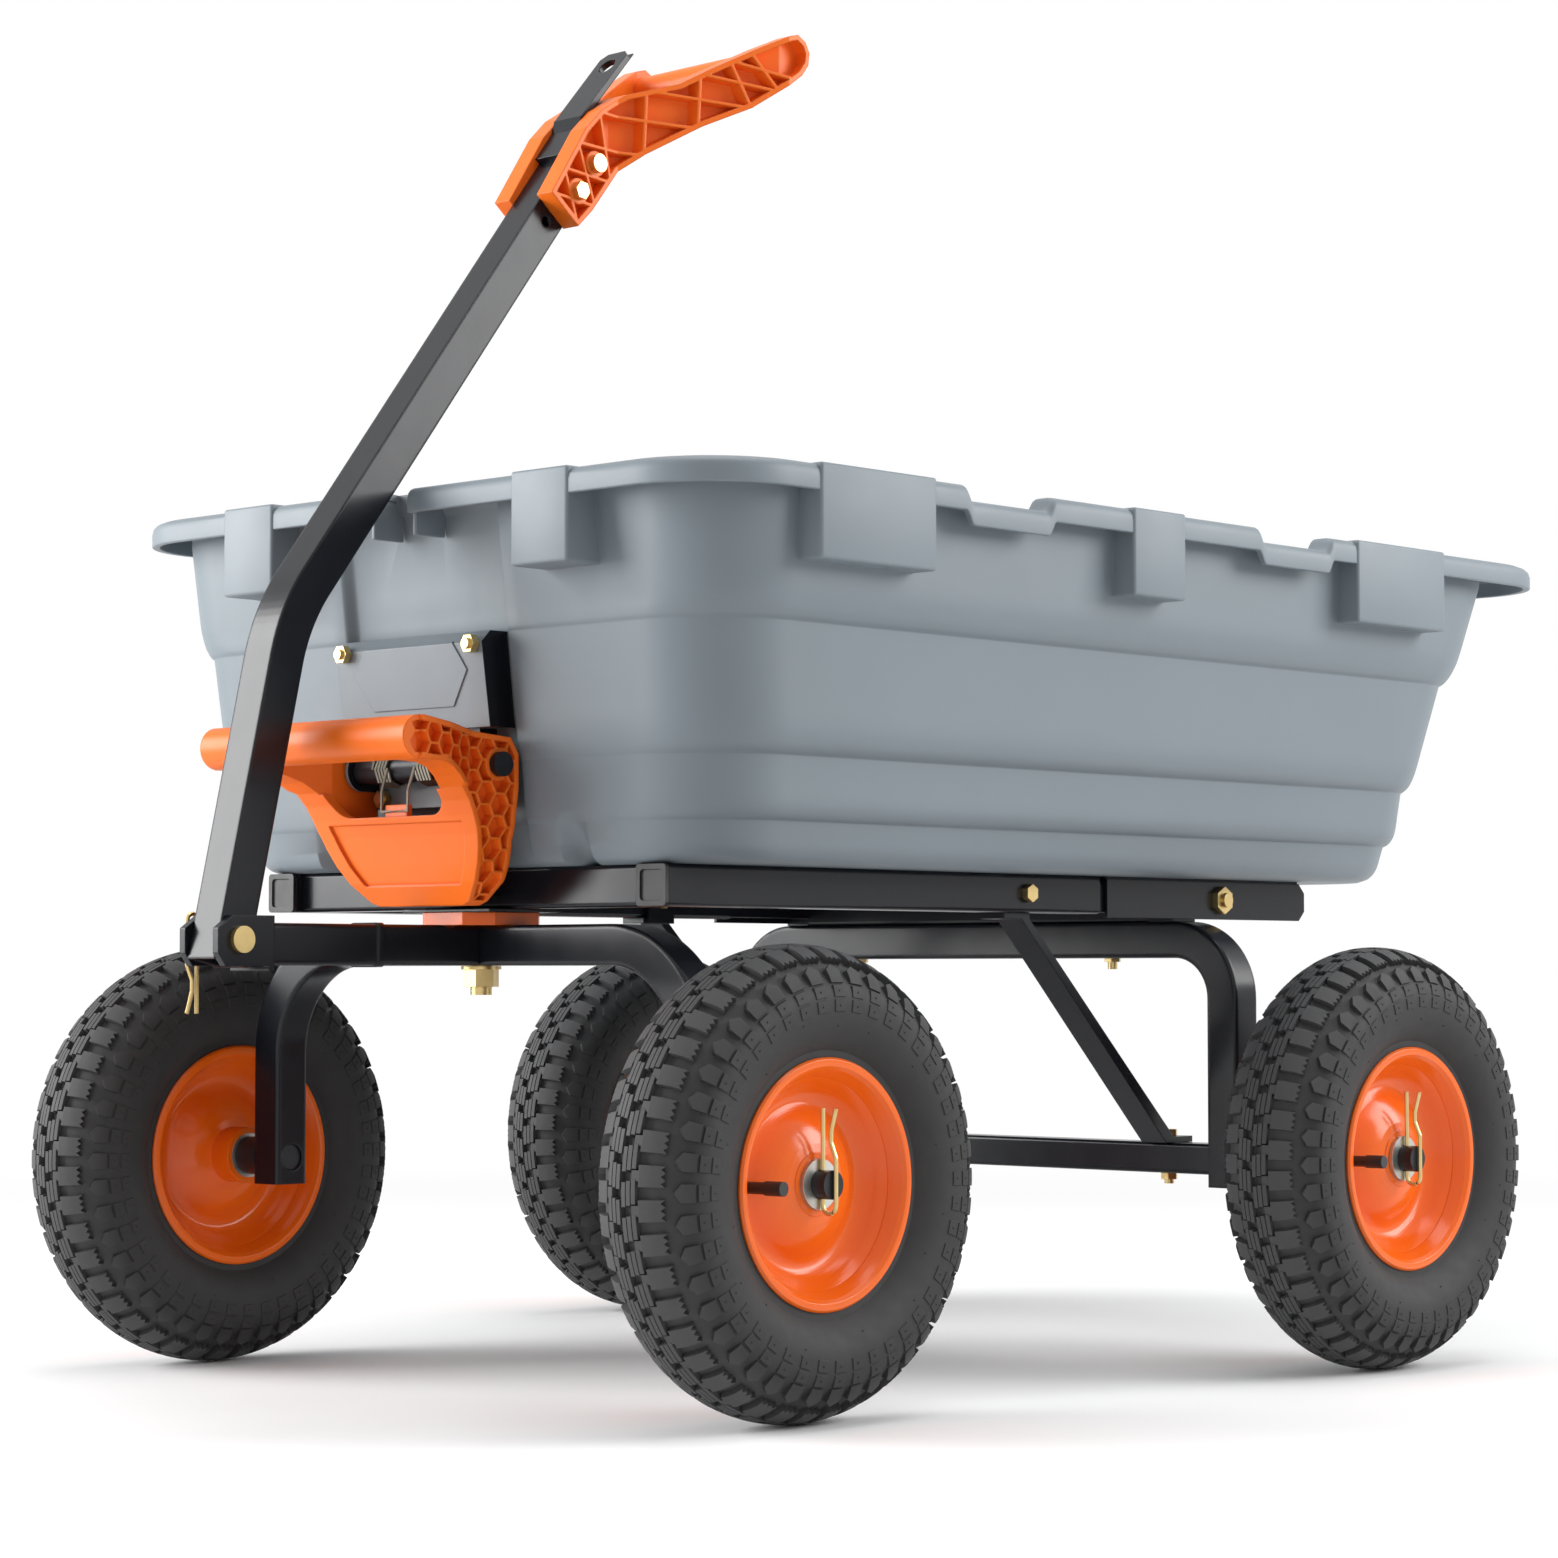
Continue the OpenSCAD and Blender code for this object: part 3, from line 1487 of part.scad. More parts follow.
// Side outline of the latch handle: down the bowl's front, up its back and over the arms to the bar
function latch_points() = concat([[bar_y, bar_z - bar_r]],
  [for (p = concat(latch_front, latch_back)) [latch_y + p[0], latch_z + p[1]]], [[bar_y, bar_z + bar_r]]);

module latch_side() {
  polygon(latch_points());
}

module latch_shield(inset) {
  high = bar_z - bowl_z + 2 * bar_r;
  edge = shield[len(shield) - 1];
  right = [for (p = shield) [p[0] - inset, bowl_z + p[1]]];
  left = [for (i = [len(shield) - 1:-1:0]) [inset - shield[i][0], bowl_z + shield[i][1]]];
  wide = bar_half + bar_r;
  polygon(concat(right, [[wide, bowl_z + edge[1] + bar_r], [wide, bowl_z + high], [-wide, bowl_z + high],
    [-wide, bowl_z + edge[1] + bar_r]], left));
}

module latch_plan(inset) {
  back = latch_y + latch_depth;
  right = [for (p = flare) [p[0] - inset, p[1]]];
  left = [for (i = [len(flare) - 1:-1:0]) [inset - flare[i][0], flare[i][1]]];
  polygon(concat([[arm_out - inset, back]], right, left, [[inset - arm_out, back]]));
}

// Extrudes a [X, Z] outline along Y through the whole latch
module front_plate() {
  translate([0, latch_y + 2 * plate_half, 0])
    rotate([90, 0, 0])
      linear_extrude(4 * plate_half)
        children();
}

// The body of the handle before its pockets: side outline, front outline and plan together
module latch_body() {
  reach = bar_half + bar_r;
  intersection() {
    side_plate(-reach, reach)
      latch_side();
    latch_core(0);
  }
}

// Front outline and plan together, drawn in from the outer faces
module latch_core(inset) {
  intersection() {
    front_plate()
      latch_shield(inset);
    linear_extrude(bar_z + 3 * bar_r)
      latch_plan(inset);
  }
}

// What the shallow panel in the bowl's front leaves out
module latch_recess() {
  reach = bar_half + bar_r;
  difference() {
    intersection() {
      front_plate()
        latch_shield(recess_border);
      block([-reach, bar_y - bar_r, bowl_z + recess_border],
        [reach, latch_y + latch_depth, bowl_rim_z - 2 * recess_depth]);
    }
    side_plate(-reach, reach)
      translate([recess_depth, 0])
        latch_side();
  }
}

// The hand opening above the bowl, its lower corners rounded
module latch_opening(wide, high) {
  mid = arm_in - opening_round;
  right = [for (i = [0:opening_steps]) let (a = -90 + 90 * i / opening_steps)
    [mid + opening_round * cos(a), bowl_rim_z + opening_round * (1 + sin(a))]];
  left = [for (i = [opening_steps:-1:0]) [-right[i][0], right[i][1]]];
  polygon(concat(right, [[wide, bowl_rim_z + opening_round], [wide, high], [-wide, high],
    [-wide, bowl_rim_z + opening_round]], left));
}

module latch_cells() {
  cell_r = (cell_pitch - cell_wall) / sqrt(3);
  step = cell_pitch * sqrt(3) / 2;
  reach = bar_half + bar_r;
  difference() {
    intersection() {
      side_plate(0, reach) {
        polygon(inset_outline(latch_points(), cell_lip));
        translate([bar_y, bar_z])
          circle(r = bar_r - cell_lip);
      }
      side_plate(0, reach)
        for (i = [0:cell_columns], k = [0:cell_rows])
          translate([bar_y + i * step, bowl_z + (k + (i % 2) / 2) * cell_pitch])
            circle(r = cell_r, $fn = 6);
    }
    latch_core(cell_depth);
    rod_x(latch_y, latch_z, 0, reach, cell_boss_r);
  }
}

module dump_handle() {
  arm = arm_out - arm_in;
  high = bar_z + 3 * bar_r;
  reach = bar_half + bar_r;
  color("#f4661b")
    placed()
      difference() {
        union() {
          difference() {
            latch_body();
            // Open above the bowl between the arms, and hollow behind the bowl's front wall
            intersection() {
              linear_extrude(high)
                latch_plan(arm);
              front_plate()
                latch_opening(reach, high);
            }
            intersection() {
              linear_extrude(high)
                latch_plan(arm);
              front_plate()
                latch_shield(arm / 2);
              side_plate(-reach, reach)
                translate([latch_wall, latch_wall])
                  union() {
                    latch_side();
                    translate([latch_y, bowl_z])
                      square([2 * plate_half, high]);
                  }
            }
            rod_x(latch_y, latch_z, -arm_out - over, arm_out + over, latch_bolt_r + running);
          }
          block([-tab_half, tab_y, bowl_rim_z - tab_t], [tab_half, tab_y + tab_t, tab_z]);
          rod_x(bar_y, bar_z, -bar_half, bar_half, bar_r);
        }
        both_sides()
          latch_cells();
        latch_recess();
      }
}

// Double torsion spring: a coil each side, joined by a bail in front of the handle's tab
function coil_point(side, t) = let (a = 90 + 360 * spring_curls * t)
  [side * (coil_start_x + coil_pitch * spring_curls * t), latch_y - coil_r * sin(a),
    latch_z + coil_r * cos(a)];

function leg_point(side) = let (e = coil_point(side, 1)) [e[0], e[1] + leg_back, e[2] + leg_up];

function spring_path() = concat([leg_point(-1)],
  [for (i = [spring_curls * coil_steps:-1:0]) coil_point(-1, i / (spring_curls * coil_steps))],
  [[-bail_half, bail_y, bail_z + bail_half], [-bail_half, bail_y, bail_z],
   [bail_half, bail_y, bail_z], [bail_half, bail_y, bail_z + bail_half]],
  [for (i = [0:spring_curls * coil_steps]) coil_point(1, i / (spring_curls * coil_steps))],
  [leg_point(1)]);

module latch_spring() {
  path = spring_path();
  near = 2 * coil_steps / 3;
  gap = min([for (i = [0:len(path) - 1], j = [0:len(path) - 1])
    if (j > i + near) norm(path[i] - path[j])]) - 2 * spring_wire_r;
  echo(latch_spring_least_gap = gap);
  color("silver")
    placed()
      swept_wire(path, spring_wire_r);
}

wheel_piece(1, front_wheel_x, 0, "#2a2a2a") tyre();  // front_left_tyre
wheel_piece(-1, front_wheel_x, 0, "#2a2a2a") tyre();  // front_right_tyre
wheel_piece(1, rear_wheel_x, rear_y, "#2a2a2a") tyre();  // rear_left_tyre
wheel_piece(-1, rear_wheel_x, rear_y, "#2a2a2a") tyre();  // rear_right_tyre
wheel_piece(1, front_wheel_x, 0, "#f4661b") rim();  // front_left_rim
wheel_piece(-1, front_wheel_x, 0, "#f4661b") rim();  // front_right_rim
wheel_piece(1, rear_wheel_x, rear_y, "#f4661b") rim();  // rear_left_rim
wheel_piece(-1, rear_wheel_x, rear_y, "#f4661b") rim();  // rear_right_rim
wheel_piece(1, front_wheel_x, 0, "silver") bearings();  // front_left_bearings
wheel_piece(-1, front_wheel_x, 0, "silver") bearings();  // front_right_bearings
wheel_piece(1, rear_wheel_x, rear_y, "silver") bearings();  // rear_left_bearings
wheel_piece(-1, rear_wheel_x, rear_y, "silver") bearings();  // rear_right_bearings
wheel_piece(1, front_wheel_x, 0, "#171717") valve();  // front_left_valve
wheel_piece(-1, front_wheel_x, 0, "#171717") valve();  // front_right_valve
wheel_piece(1, rear_wheel_x, rear_y, "#171717") valve();  // rear_left_valve
wheel_piece(-1, rear_wheel_x, rear_y, "#171717") valve();  // rear_right_valve
front_washers();
rear_washers();
front_axle_clips();
rear_axle_clips();
left_rail();
right_rail();
rail_end_caps();
front_cross_tube();
rear_cross_tube();
bolster_plate();
striker_plate();
rear_arch();
rear_axle_bar();
rear_stub_axles();
axle_braces();
frame_bolts();
kingpin();
kingpin_nut();
front_arch();
front_stub_axles();
tongue();
hinge_bracket();
steering_pad();
hinge_pin();
hinge_pin_clip();
handle_tube();
tow_tongue();
d_grip();
grip_bolts();
grip_lock_pin();
tub();
tail_angles();
tail_bolts();
tub_bolts();
latch_bracket();
bracket_bolts();
latch_pivot();
dump_handle();
latch_spring();
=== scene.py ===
"""Looks of the tipping dump cart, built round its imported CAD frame.

Metres, in the frame's own axes: the front faces -Y, +X is the cart's left, +Z is up and the ground is Z = 0.
"""

import json
import math

import bmesh
import bpy
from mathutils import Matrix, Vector


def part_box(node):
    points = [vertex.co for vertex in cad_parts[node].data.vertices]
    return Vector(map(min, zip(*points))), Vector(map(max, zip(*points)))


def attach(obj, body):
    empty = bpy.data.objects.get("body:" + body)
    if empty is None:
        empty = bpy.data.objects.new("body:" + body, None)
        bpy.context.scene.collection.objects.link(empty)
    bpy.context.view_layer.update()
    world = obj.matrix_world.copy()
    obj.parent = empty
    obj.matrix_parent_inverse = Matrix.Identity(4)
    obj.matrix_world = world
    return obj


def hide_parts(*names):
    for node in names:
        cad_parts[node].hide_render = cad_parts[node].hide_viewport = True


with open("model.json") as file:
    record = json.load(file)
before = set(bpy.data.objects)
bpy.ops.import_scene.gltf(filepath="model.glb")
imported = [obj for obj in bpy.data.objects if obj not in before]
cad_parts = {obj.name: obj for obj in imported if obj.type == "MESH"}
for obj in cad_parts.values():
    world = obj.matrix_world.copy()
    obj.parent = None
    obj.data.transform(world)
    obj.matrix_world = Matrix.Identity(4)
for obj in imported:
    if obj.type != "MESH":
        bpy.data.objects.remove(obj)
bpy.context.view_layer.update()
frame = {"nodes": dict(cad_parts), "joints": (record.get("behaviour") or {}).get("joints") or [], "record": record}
nodes = frame["nodes"]
joints = {j["name"]: j for j in frame["joints"]}
MM = 0.001


# Places read from the frame

WHEELS = {
    name: Vector(joints[f"{name}_spin"]["pos_m"])
    for name in ("front_left", "front_right", "rear_left", "rear_right")
}
TYRE_LOW, TYRE_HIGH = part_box("front_left_tyre")
TYRE_R = (TYRE_HIGH.z - TYRE_LOW.z) / 2
TYRE_HALF = (TYRE_HIGH.x - TYRE_LOW.x) / 2
RIM_LOW, RIM_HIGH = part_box("front_left_rim")
RIM_FLANGE = 7 * MM
BEAD_R = (RIM_HIGH.z - RIM_LOW.z) / 2 - RIM_FLANGE
BEAD_X = 32 * MM


# Mesh helpers


def piece(name, verts, faces, material, body, smooth=True):
    """One mesh object that rides on a CAD body."""
    mesh = bpy.data.meshes.new(name)
    mesh.from_pydata([tuple(v) for v in verts], [], faces)
    mesh.validate()
    obj = bpy.data.objects.new(name, mesh)
    bpy.context.scene.collection.objects.link(obj)
    mesh.materials.append(material)
    for polygon in mesh.polygons:
        polygon.use_smooth = smooth
    if body:
        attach(obj, body)
    return obj


def weld(obj, distance=0.01 * MM):
    """Joins doubled points and turns all faces outward."""
    bm = bmesh.new()
    bm.from_mesh(obj.data)
    bmesh.ops.remove_doubles(bm, verts=bm.verts, dist=distance)
    bmesh.ops.recalc_face_normals(bm, faces=bm.faces)
    bm.to_mesh(obj.data)
    bm.free()


def sharpen(obj, degrees):
    """Keeps edges steeper than the angle crisp under smooth shading."""
    bm = bmesh.new()
    bm.from_mesh(obj.data)
    limit = math.radians(degrees)
    for edge in bm.edges:
        edge.smooth = edge.calc_face_angle(0) < limit
    bm.to_mesh(obj.data)
    bm.free()


class Solid:
    """Collects points and faces of many small closed forms into one mesh."""

    def __init__(self):
        self.verts, self.faces = [], []

    def add(self, verts, faces):
        base = len(self.verts)
        self.verts += [Vector(v) for v in verts]
        self.faces += [[base + i for i in f] for f in faces]

    def loft(self, rings, caps=True):
        """Skins rings of equal length, each ring a closed loop."""
        n, verts, faces = len(rings[0]), [], []
        for ring in rings:
            verts += ring
        for k in range(len(rings) - 1):
            for i in range(n):
                j = (i + 1) % n
                faces.append([k * n + i, k * n + j, (k + 1) * n + j, (k + 1) * n + i])
        if caps:
            faces.append(list(range(n))[::-1])
            faces.append([(len(rings) - 1) * n + i for i in range(n)])
        self.add(verts, faces)


# Materials


NOISE_DETAIL = 3.0


class Paint:
    """Builds one procedural material: colour drift, roughness drift, fine grain and softened edges."""

    def __init__(self, name):
        self.material = bpy.data.materials.new(name)
        self.material.use_nodes = True
        self.tree = self.material.node_tree
        self.bsdf = self.tree.nodes["Principled BSDF"]
        self.coords = self.tree.nodes.new("ShaderNodeTexCoord").outputs["Object"]

    def node(self, kind, **inputs):
        made = self.tree.nodes.new(kind)
        for key, value in inputs.items():
            socket = made.inputs[key.replace("_", " ")]
            if isinstance(value, bpy.types.NodeSocket):
                self.tree.links.new(value, socket)
            else:
                socket.default_value = value
        return made

    def noise(self, scale):
        made = self.node("ShaderNodeTexNoise", Vector=self.coords, Scale=scale, Detail=NOISE_DETAIL)
        return made.outputs["Fac"]

    def ramp(self, factor, low, high):
        made = self.node("ShaderNodeMapRange", Value=factor)
        made.inputs["To Min"].default_value = low
        made.inputs["To Max"].default_value = high
        return made.outputs["Result"]

    def colour(self, base, other, scale):
        mix = self.tree.nodes.new("ShaderNodeMix")
        mix.data_type = "RGBA"
        self.tree.links.new(self.noise(scale), mix.inputs["Factor"])
        mix.inputs["A"].default_value = (*base, 1)
        mix.inputs["B"].default_value = (*other, 1)
        self.tree.links.new(mix.outputs["Result"], self.bsdf.inputs["Base Color"])
        return self

    def roughness(self, low, high, scale):
        self.tree.links.new(self.ramp(self.noise(scale), low, high), self.bsdf.inputs["Roughness"])
        return self

    def grain(self, scale, strength, depth, edge=0.0):
        """Surface grain as bump, over edges rounded by the given radius."""
        bump = self.node("ShaderNodeBump", Height=self.noise(scale), Strength=strength, Distance=depth)
        if edge:
            soft = self.node("ShaderNodeBevel", Radius=edge)
            soft.samples = 6
            self.tree.links.new(soft.outputs["Normal"], bump.inputs["Normal"])
        self.tree.links.new(bump.outputs["Normal"], self.bsdf.inputs["Normal"])
        return self

    def painted_outer_sheen(self, colour, near, far):
        """Painted sheen: another colour away from the object's own X axis, from one radius to the next."""
        parts = self.node("ShaderNodeSeparateXYZ", Vector=self.coords)
        flat = self.node("ShaderNodeCombineXYZ", Y=parts.outputs["Y"], Z=parts.outputs["Z"])
        radius = self.node("ShaderNodeVectorMath", Vector=flat.outputs["Vector"])
        radius.operation = "LENGTH"
        share = self.node("ShaderNodeMapRange", Value=radius.outputs["Value"])
        share.inputs["From Min"].default_value = near
        share.inputs["From Max"].default_value = far
        socket = self.bsdf.inputs["Base Color"]
        mix = self.tree.nodes.new("ShaderNodeMix")
        mix.data_type = "RGBA"
        self.tree.links.new(share.outputs["Result"], mix.inputs["Factor"])
        self.tree.links.new(socket.links[0].from_socket, mix.inputs["A"])
        mix.inputs["B"].default_value = (*colour, 1)
        self.tree.links.new(mix.outputs["Result"], socket)
        return self

    def set(self, **values):
        for key, value in values.items():
            self.bsdf.inputs[key.replace("_", " ")].default_value = value
        return self


def srgb(code):
    """Linear colour of a #rrggbb code."""
    parts = [int(code[i : i + 2], 16) / 255 for i in (1, 3, 5)]
    return tuple(c / 12.92 if c <= 0.04045 else ((c + 0.055) / 1.055) ** 2.4 for c in parts)


SLATE = Paint("slate_poly").colour(srgb("#79838a"), srgb("#737d83"), 9)
SLATE.roughness(0.4, 0.52, 30).grain(2600, 0.16, 0.0004, 1.2 * MM).set(Specular_IOR_Level=0.42)
BRACKET = Paint("slate_coat").colour(srgb("#757e84"), srgb("#6d757b"), 25)
BRACKET.roughness(0.34, 0.46, 60).grain(1500, 0.12, 0.0003, 0.8 * MM)
ORANGE = Paint("orange_poly").colour(srgb("#f5741f"), srgb("#ee6918"), 20)
ORANGE.roughness(0.34, 0.46, 60).grain(1800, 0.1, 0.0003, 2.0 * MM).set(Specular_IOR_Level=0.3)
RIM_PAINT = Paint("orange_gloss").colour(srgb("#ee6a12"), srgb("#e5600c"), 12)
RIM_PAINT.roughness(0.16, 0.24, 40).grain(700, 0.05, 0.0002, 0.8 * MM).set(Specular_IOR_Level=0.4)


def black_coat(name, edge):
    """Gloss black powder coat, a little blue, with edges softened by the given radius."""
    paint = Paint(name).colour(srgb("#15171d"), srgb("#101217"), 14)
    paint.roughness(0.2, 0.28, 45).grain(900, 0.05, 0.0002, edge)
    return paint.set(Specular_IOR_Level=0.3)


BLACK = black_coat("black_coat", 1.2 * MM)
TUBE_BLACK = black_coat("black_tube_coat", 2.8 * MM)
ZINC = Paint("yellow_zinc").colour(srgb("#d9c48a"), srgb("#c7a970"), 90)
ZINC.roughness(0.24, 0.4, 140).grain(1400, 0.08, 0.0002, 0.4 * MM).set(Metallic=0.9)
BRIGHT = Paint("bright_zinc").colour(srgb("#c9c8c0"), srgb("#b4b4ae"), 90)
BRIGHT.roughness(0.25, 0.4, 140).grain(1200, 0.08, 0.0002, 0.4 * MM).set(Metallic=0.9)
STEEL = Paint("dark_steel").colour(srgb("#23252a"), srgb("#1a1b1f"), 60)
STEEL.roughness(0.34, 0.5, 120).grain(1200, 0.08, 0.0002, 0.5 * MM).set(Metallic=0.4)
WIRE = Paint("spring_wire").colour(srgb("#b9b3a4"), srgb("#9a9486"), 200)
WIRE.roughness(0.25, 0.4, 200).grain(2000, 0.05, 0.0001).set(Metallic=0.9)
RUBBER = Paint("tyre_rubber").colour(srgb("#272728"), srgb("#303030"), 35)
# Painted sheen: the tread beyond 140 mm radius is painted lighter, standing in for the grazing light on it.
RUBBER.painted_outer_sheen(srgb("#444445"), 140 * MM, 156 * MM)
RUBBER.roughness(0.56, 0.72, 90).grain(1700, 0.22, 0.0005, 0.5 * MM).set(Specular_IOR_Level=0.35)
TRIM = Paint("black_rubber").colour(srgb("#161616"), srgb("#1f1f1f"), 60)
TRIM.roughness(0.4, 0.55, 90).grain(1500, 0.1, 0.0003, 0.6 * MM)

SLOT_PAINT = {
    "tub_plastic": SLATE,
    "grey_paint": BRACKET,
    "orange_plastic": ORANGE,
    "orange_paint": RIM_PAINT,
    "black_paint": BLACK,
    "yellow_zinc": ZINC,
    "bright_zinc": BRIGHT,
    "dark_steel": STEEL,
    "spring_steel": WIRE,
    "tyre_rubber": RUBBER,
    "black_rubber": TRIM,
}
for sub in frame["record"]["subparts"]:
    mesh = nodes[sub["node"]].data
    mesh.materials.clear()
    mesh.materials.append(SLOT_PAINT[sub["material_slot"]].material)
for name in ("handle_tube", "tongue", "front_arch", "rear_arch"):
    nodes[name].data.materials[0] = TUBE_BLACK.material

# The latch bracket's faces that point along X, its side flanges, take the black coat
bracket = nodes["latch_bracket"].data
bracket.materials.append(BLACK.material)
for polygon in bracket.polygons:
    polygon.material_index = int(abs(polygon.normal.x) > 0.9)


# Tyres: a carcass with a block tread, built once about X and shared by the four wheels

PITCHES = 44
TURN_STEPS = 176
TREAD_DEPTH = 5 * MM
TREAD_EDGE = 36 * MM
FADE_EDGE = 62 * MM
CARCASS_POWER = 2.1
BEAD_START = math.radians(45)
PROFILE_STEPS = 120
SINK = 0.6 * MM
BLOCK_TAPER = 0.4 * MM
# Centre block: its middle across, the spacing, half width and width of its strips, and its half length
CENTRE_MID, STRIP_PITCH, STRIP_HALF, STRIP_WIDE, STRIP_REACH = 6.6, 4.1, 1.6, 3.3, 8.2
# Lateral lug: columns along the turn, its inner edge and the two reaches of its serrated end, and its root
LUG_COLUMNS = (-7.4, -5, -2.5, 0, 2.5, 5, 7.4)
LUG_INNER, LUG_SHORT, LUG_LONG = 14.6, 30.5, 33.5
ROOT_HALF, ROOT_INNER, ROOT_DROP = 3.6, 9.0, 0.4 * MM
# Shoulder lug with its arrow end, and the dotted pads beyond it
SHOULDER_COLUMNS = (-7, -3.5, 0, 3.5, 7)
SHOULDER_INNER, SHOULDER_SLOPE, SHOULDER_OUTER, SHOULDER_LIFT = 39.5, 2.2, 54, 0.3 * MM
PAD_COLUMNS = (-6.6, 0, 6.6)
PAD_STARTS, PAD_WIDE, PAD_LIFT = (56, 66), 8, 0.7 * MM
DOT_SIZE, DOT_HEIGHT = 0.8 * MM, 1.3 * MM
# Moulding nubs scattered round the sidewall
NUBS, NUB_PLACE, NUB_SPREAD = 15, 84, 6
NUB_SIZE, NUB_HEIGHT = 0.6 * MM, 0.8 * MM


def carcass_profile():
    """Half outline from the crown to the bead as (across, radius), with its arc length and outward normal."""
    mid, half = (TYRE_R + BEAD_R) / 2, (TYRE_R - BEAD_R) / 2
    share = 2 / CARCASS_POWER
    line = []
    for i in range(PROFILE_STEPS + 1):
        a = math.pi / 2 - i * (math.pi / 2 + BEAD_START) / PROFILE_STEPS
        x = TYRE_HALF * math.copysign(abs(math.cos(a)) ** share, math.cos(a))
        r = mid + half * math.copysign(abs(math.sin(a)) ** share, math.sin(a))
        line.append(Vector((x, r)))
    lengths = [0.0]
    for a, b in zip(line, line[1:]):
        lengths.append(lengths[-1] + (b - a).length)
    normals = []
    for i in range(len(line)):
        along = line[min(i + 1, PROFILE_STEPS)] - line[max(i - 1, 0)]
        normals.append(Vector((-along.y, along.x)).normalized())
    return line, lengths, normals


PROFILE, PROFILE_S, PROFILE_N = carcass_profile()


def tread_drop(s):
    """Depth of the carcass under the block tops, at an arc length from the crown."""
    if s < TREAD_EDGE:
        return TREAD_DEPTH
    share = max(0.0, (FADE_EDGE - s) / (FADE_EDGE - TREAD_EDGE))
    return TREAD_DEPTH * share * share * (3 - 2 * share)


def on_tyre(turn, s, lift=0.0):
    """Point on the tyre: turn in radians, s across from the crown, lift above the block tops."""
    side, s = (1, s) if s >= 0 else (-1, -s)
    k = 0
    while k < PROFILE_STEPS - 1 and PROFILE_S[k + 1] < s:
        k += 1
    t = (s - PROFILE_S[k]) / max(PROFILE_S[k + 1] - PROFILE_S[k], 1e-9)
    at = PROFILE[k].lerp(PROFILE[k + 1], t)
    out = PROFILE_N[k].lerp(PROFILE_N[k + 1], t)
    at = at + out * lift
    return Vector((side * at.x, at.y * math.sin(turn), at.y * math.cos(turn)))


def add_block(solid, turns, inner, outer, rows, top):
    """A tread block: columns at the given turns, from inner to outer across, with a lifted top."""
    grid = []
    for turn, a, b in zip(turns, inner, outer):
        grid.append([(turn, a + (b - a) * k / rows) for k in range(rows + 1)])
    verts = [on_tyre(turn, s, top) for column in grid for turn, s in column]
    wide = rows + 1
    faces = []
    for i in range(len(turns) - 1):
        for k in range(rows):
            faces.append([i * wide + k, (i + 1) * wide + k, (i + 1) * wide + k + 1, i * wide + k + 1])
    rim = [(i, 0) for i in range(len(turns))]
    rim += [(len(turns) - 1, k) for k in range(1, wide)]
    rim += [(i, rows) for i in range(len(turns) - 2, -1, -1)]
    rim += [(0, k) for k in range(rows - 1, 0, -1)]
    mid_turn = sum(turns) / len(turns)
    mid_s = (sum(inner) + sum(outer)) / (2 * len(turns))
    foot = len(verts)
    for i, k in rim:
        turn, s = grid[i][k]
        turn += math.copysign(BLOCK_TAPER / TYRE_R, turn - mid_turn)
        s += math.copysign(BLOCK_TAPER, s - mid_s)
        verts.append(on_tyre(turn, s, -tread_drop(abs(s)) - SINK))
    n = len(rim)
    for j in range(n):
        a, b = rim[j], rim[(j + 1) % n]
        faces.append([a[0] * wide + a[1], foot + j, foot + (j + 1) % n, b[0] * wide + b[1]])
    solid.add(verts, faces)


def add_nub(solid, turn, s, size, height):
    """A moulding nub or dot: a low six-sided peg on the sidewall."""
    ring = []
    for lift, share in ((-SINK, 1.0), (height, 0.8)):
        ring.append(
            [
                on_tyre(turn + share * size * math.cos(a) / TYRE_R, s + share * size * math.sin(a), lift)
                for a in (k * math.pi / 3 for k in range(6))
            ]
        )
    solid.loft(ring)


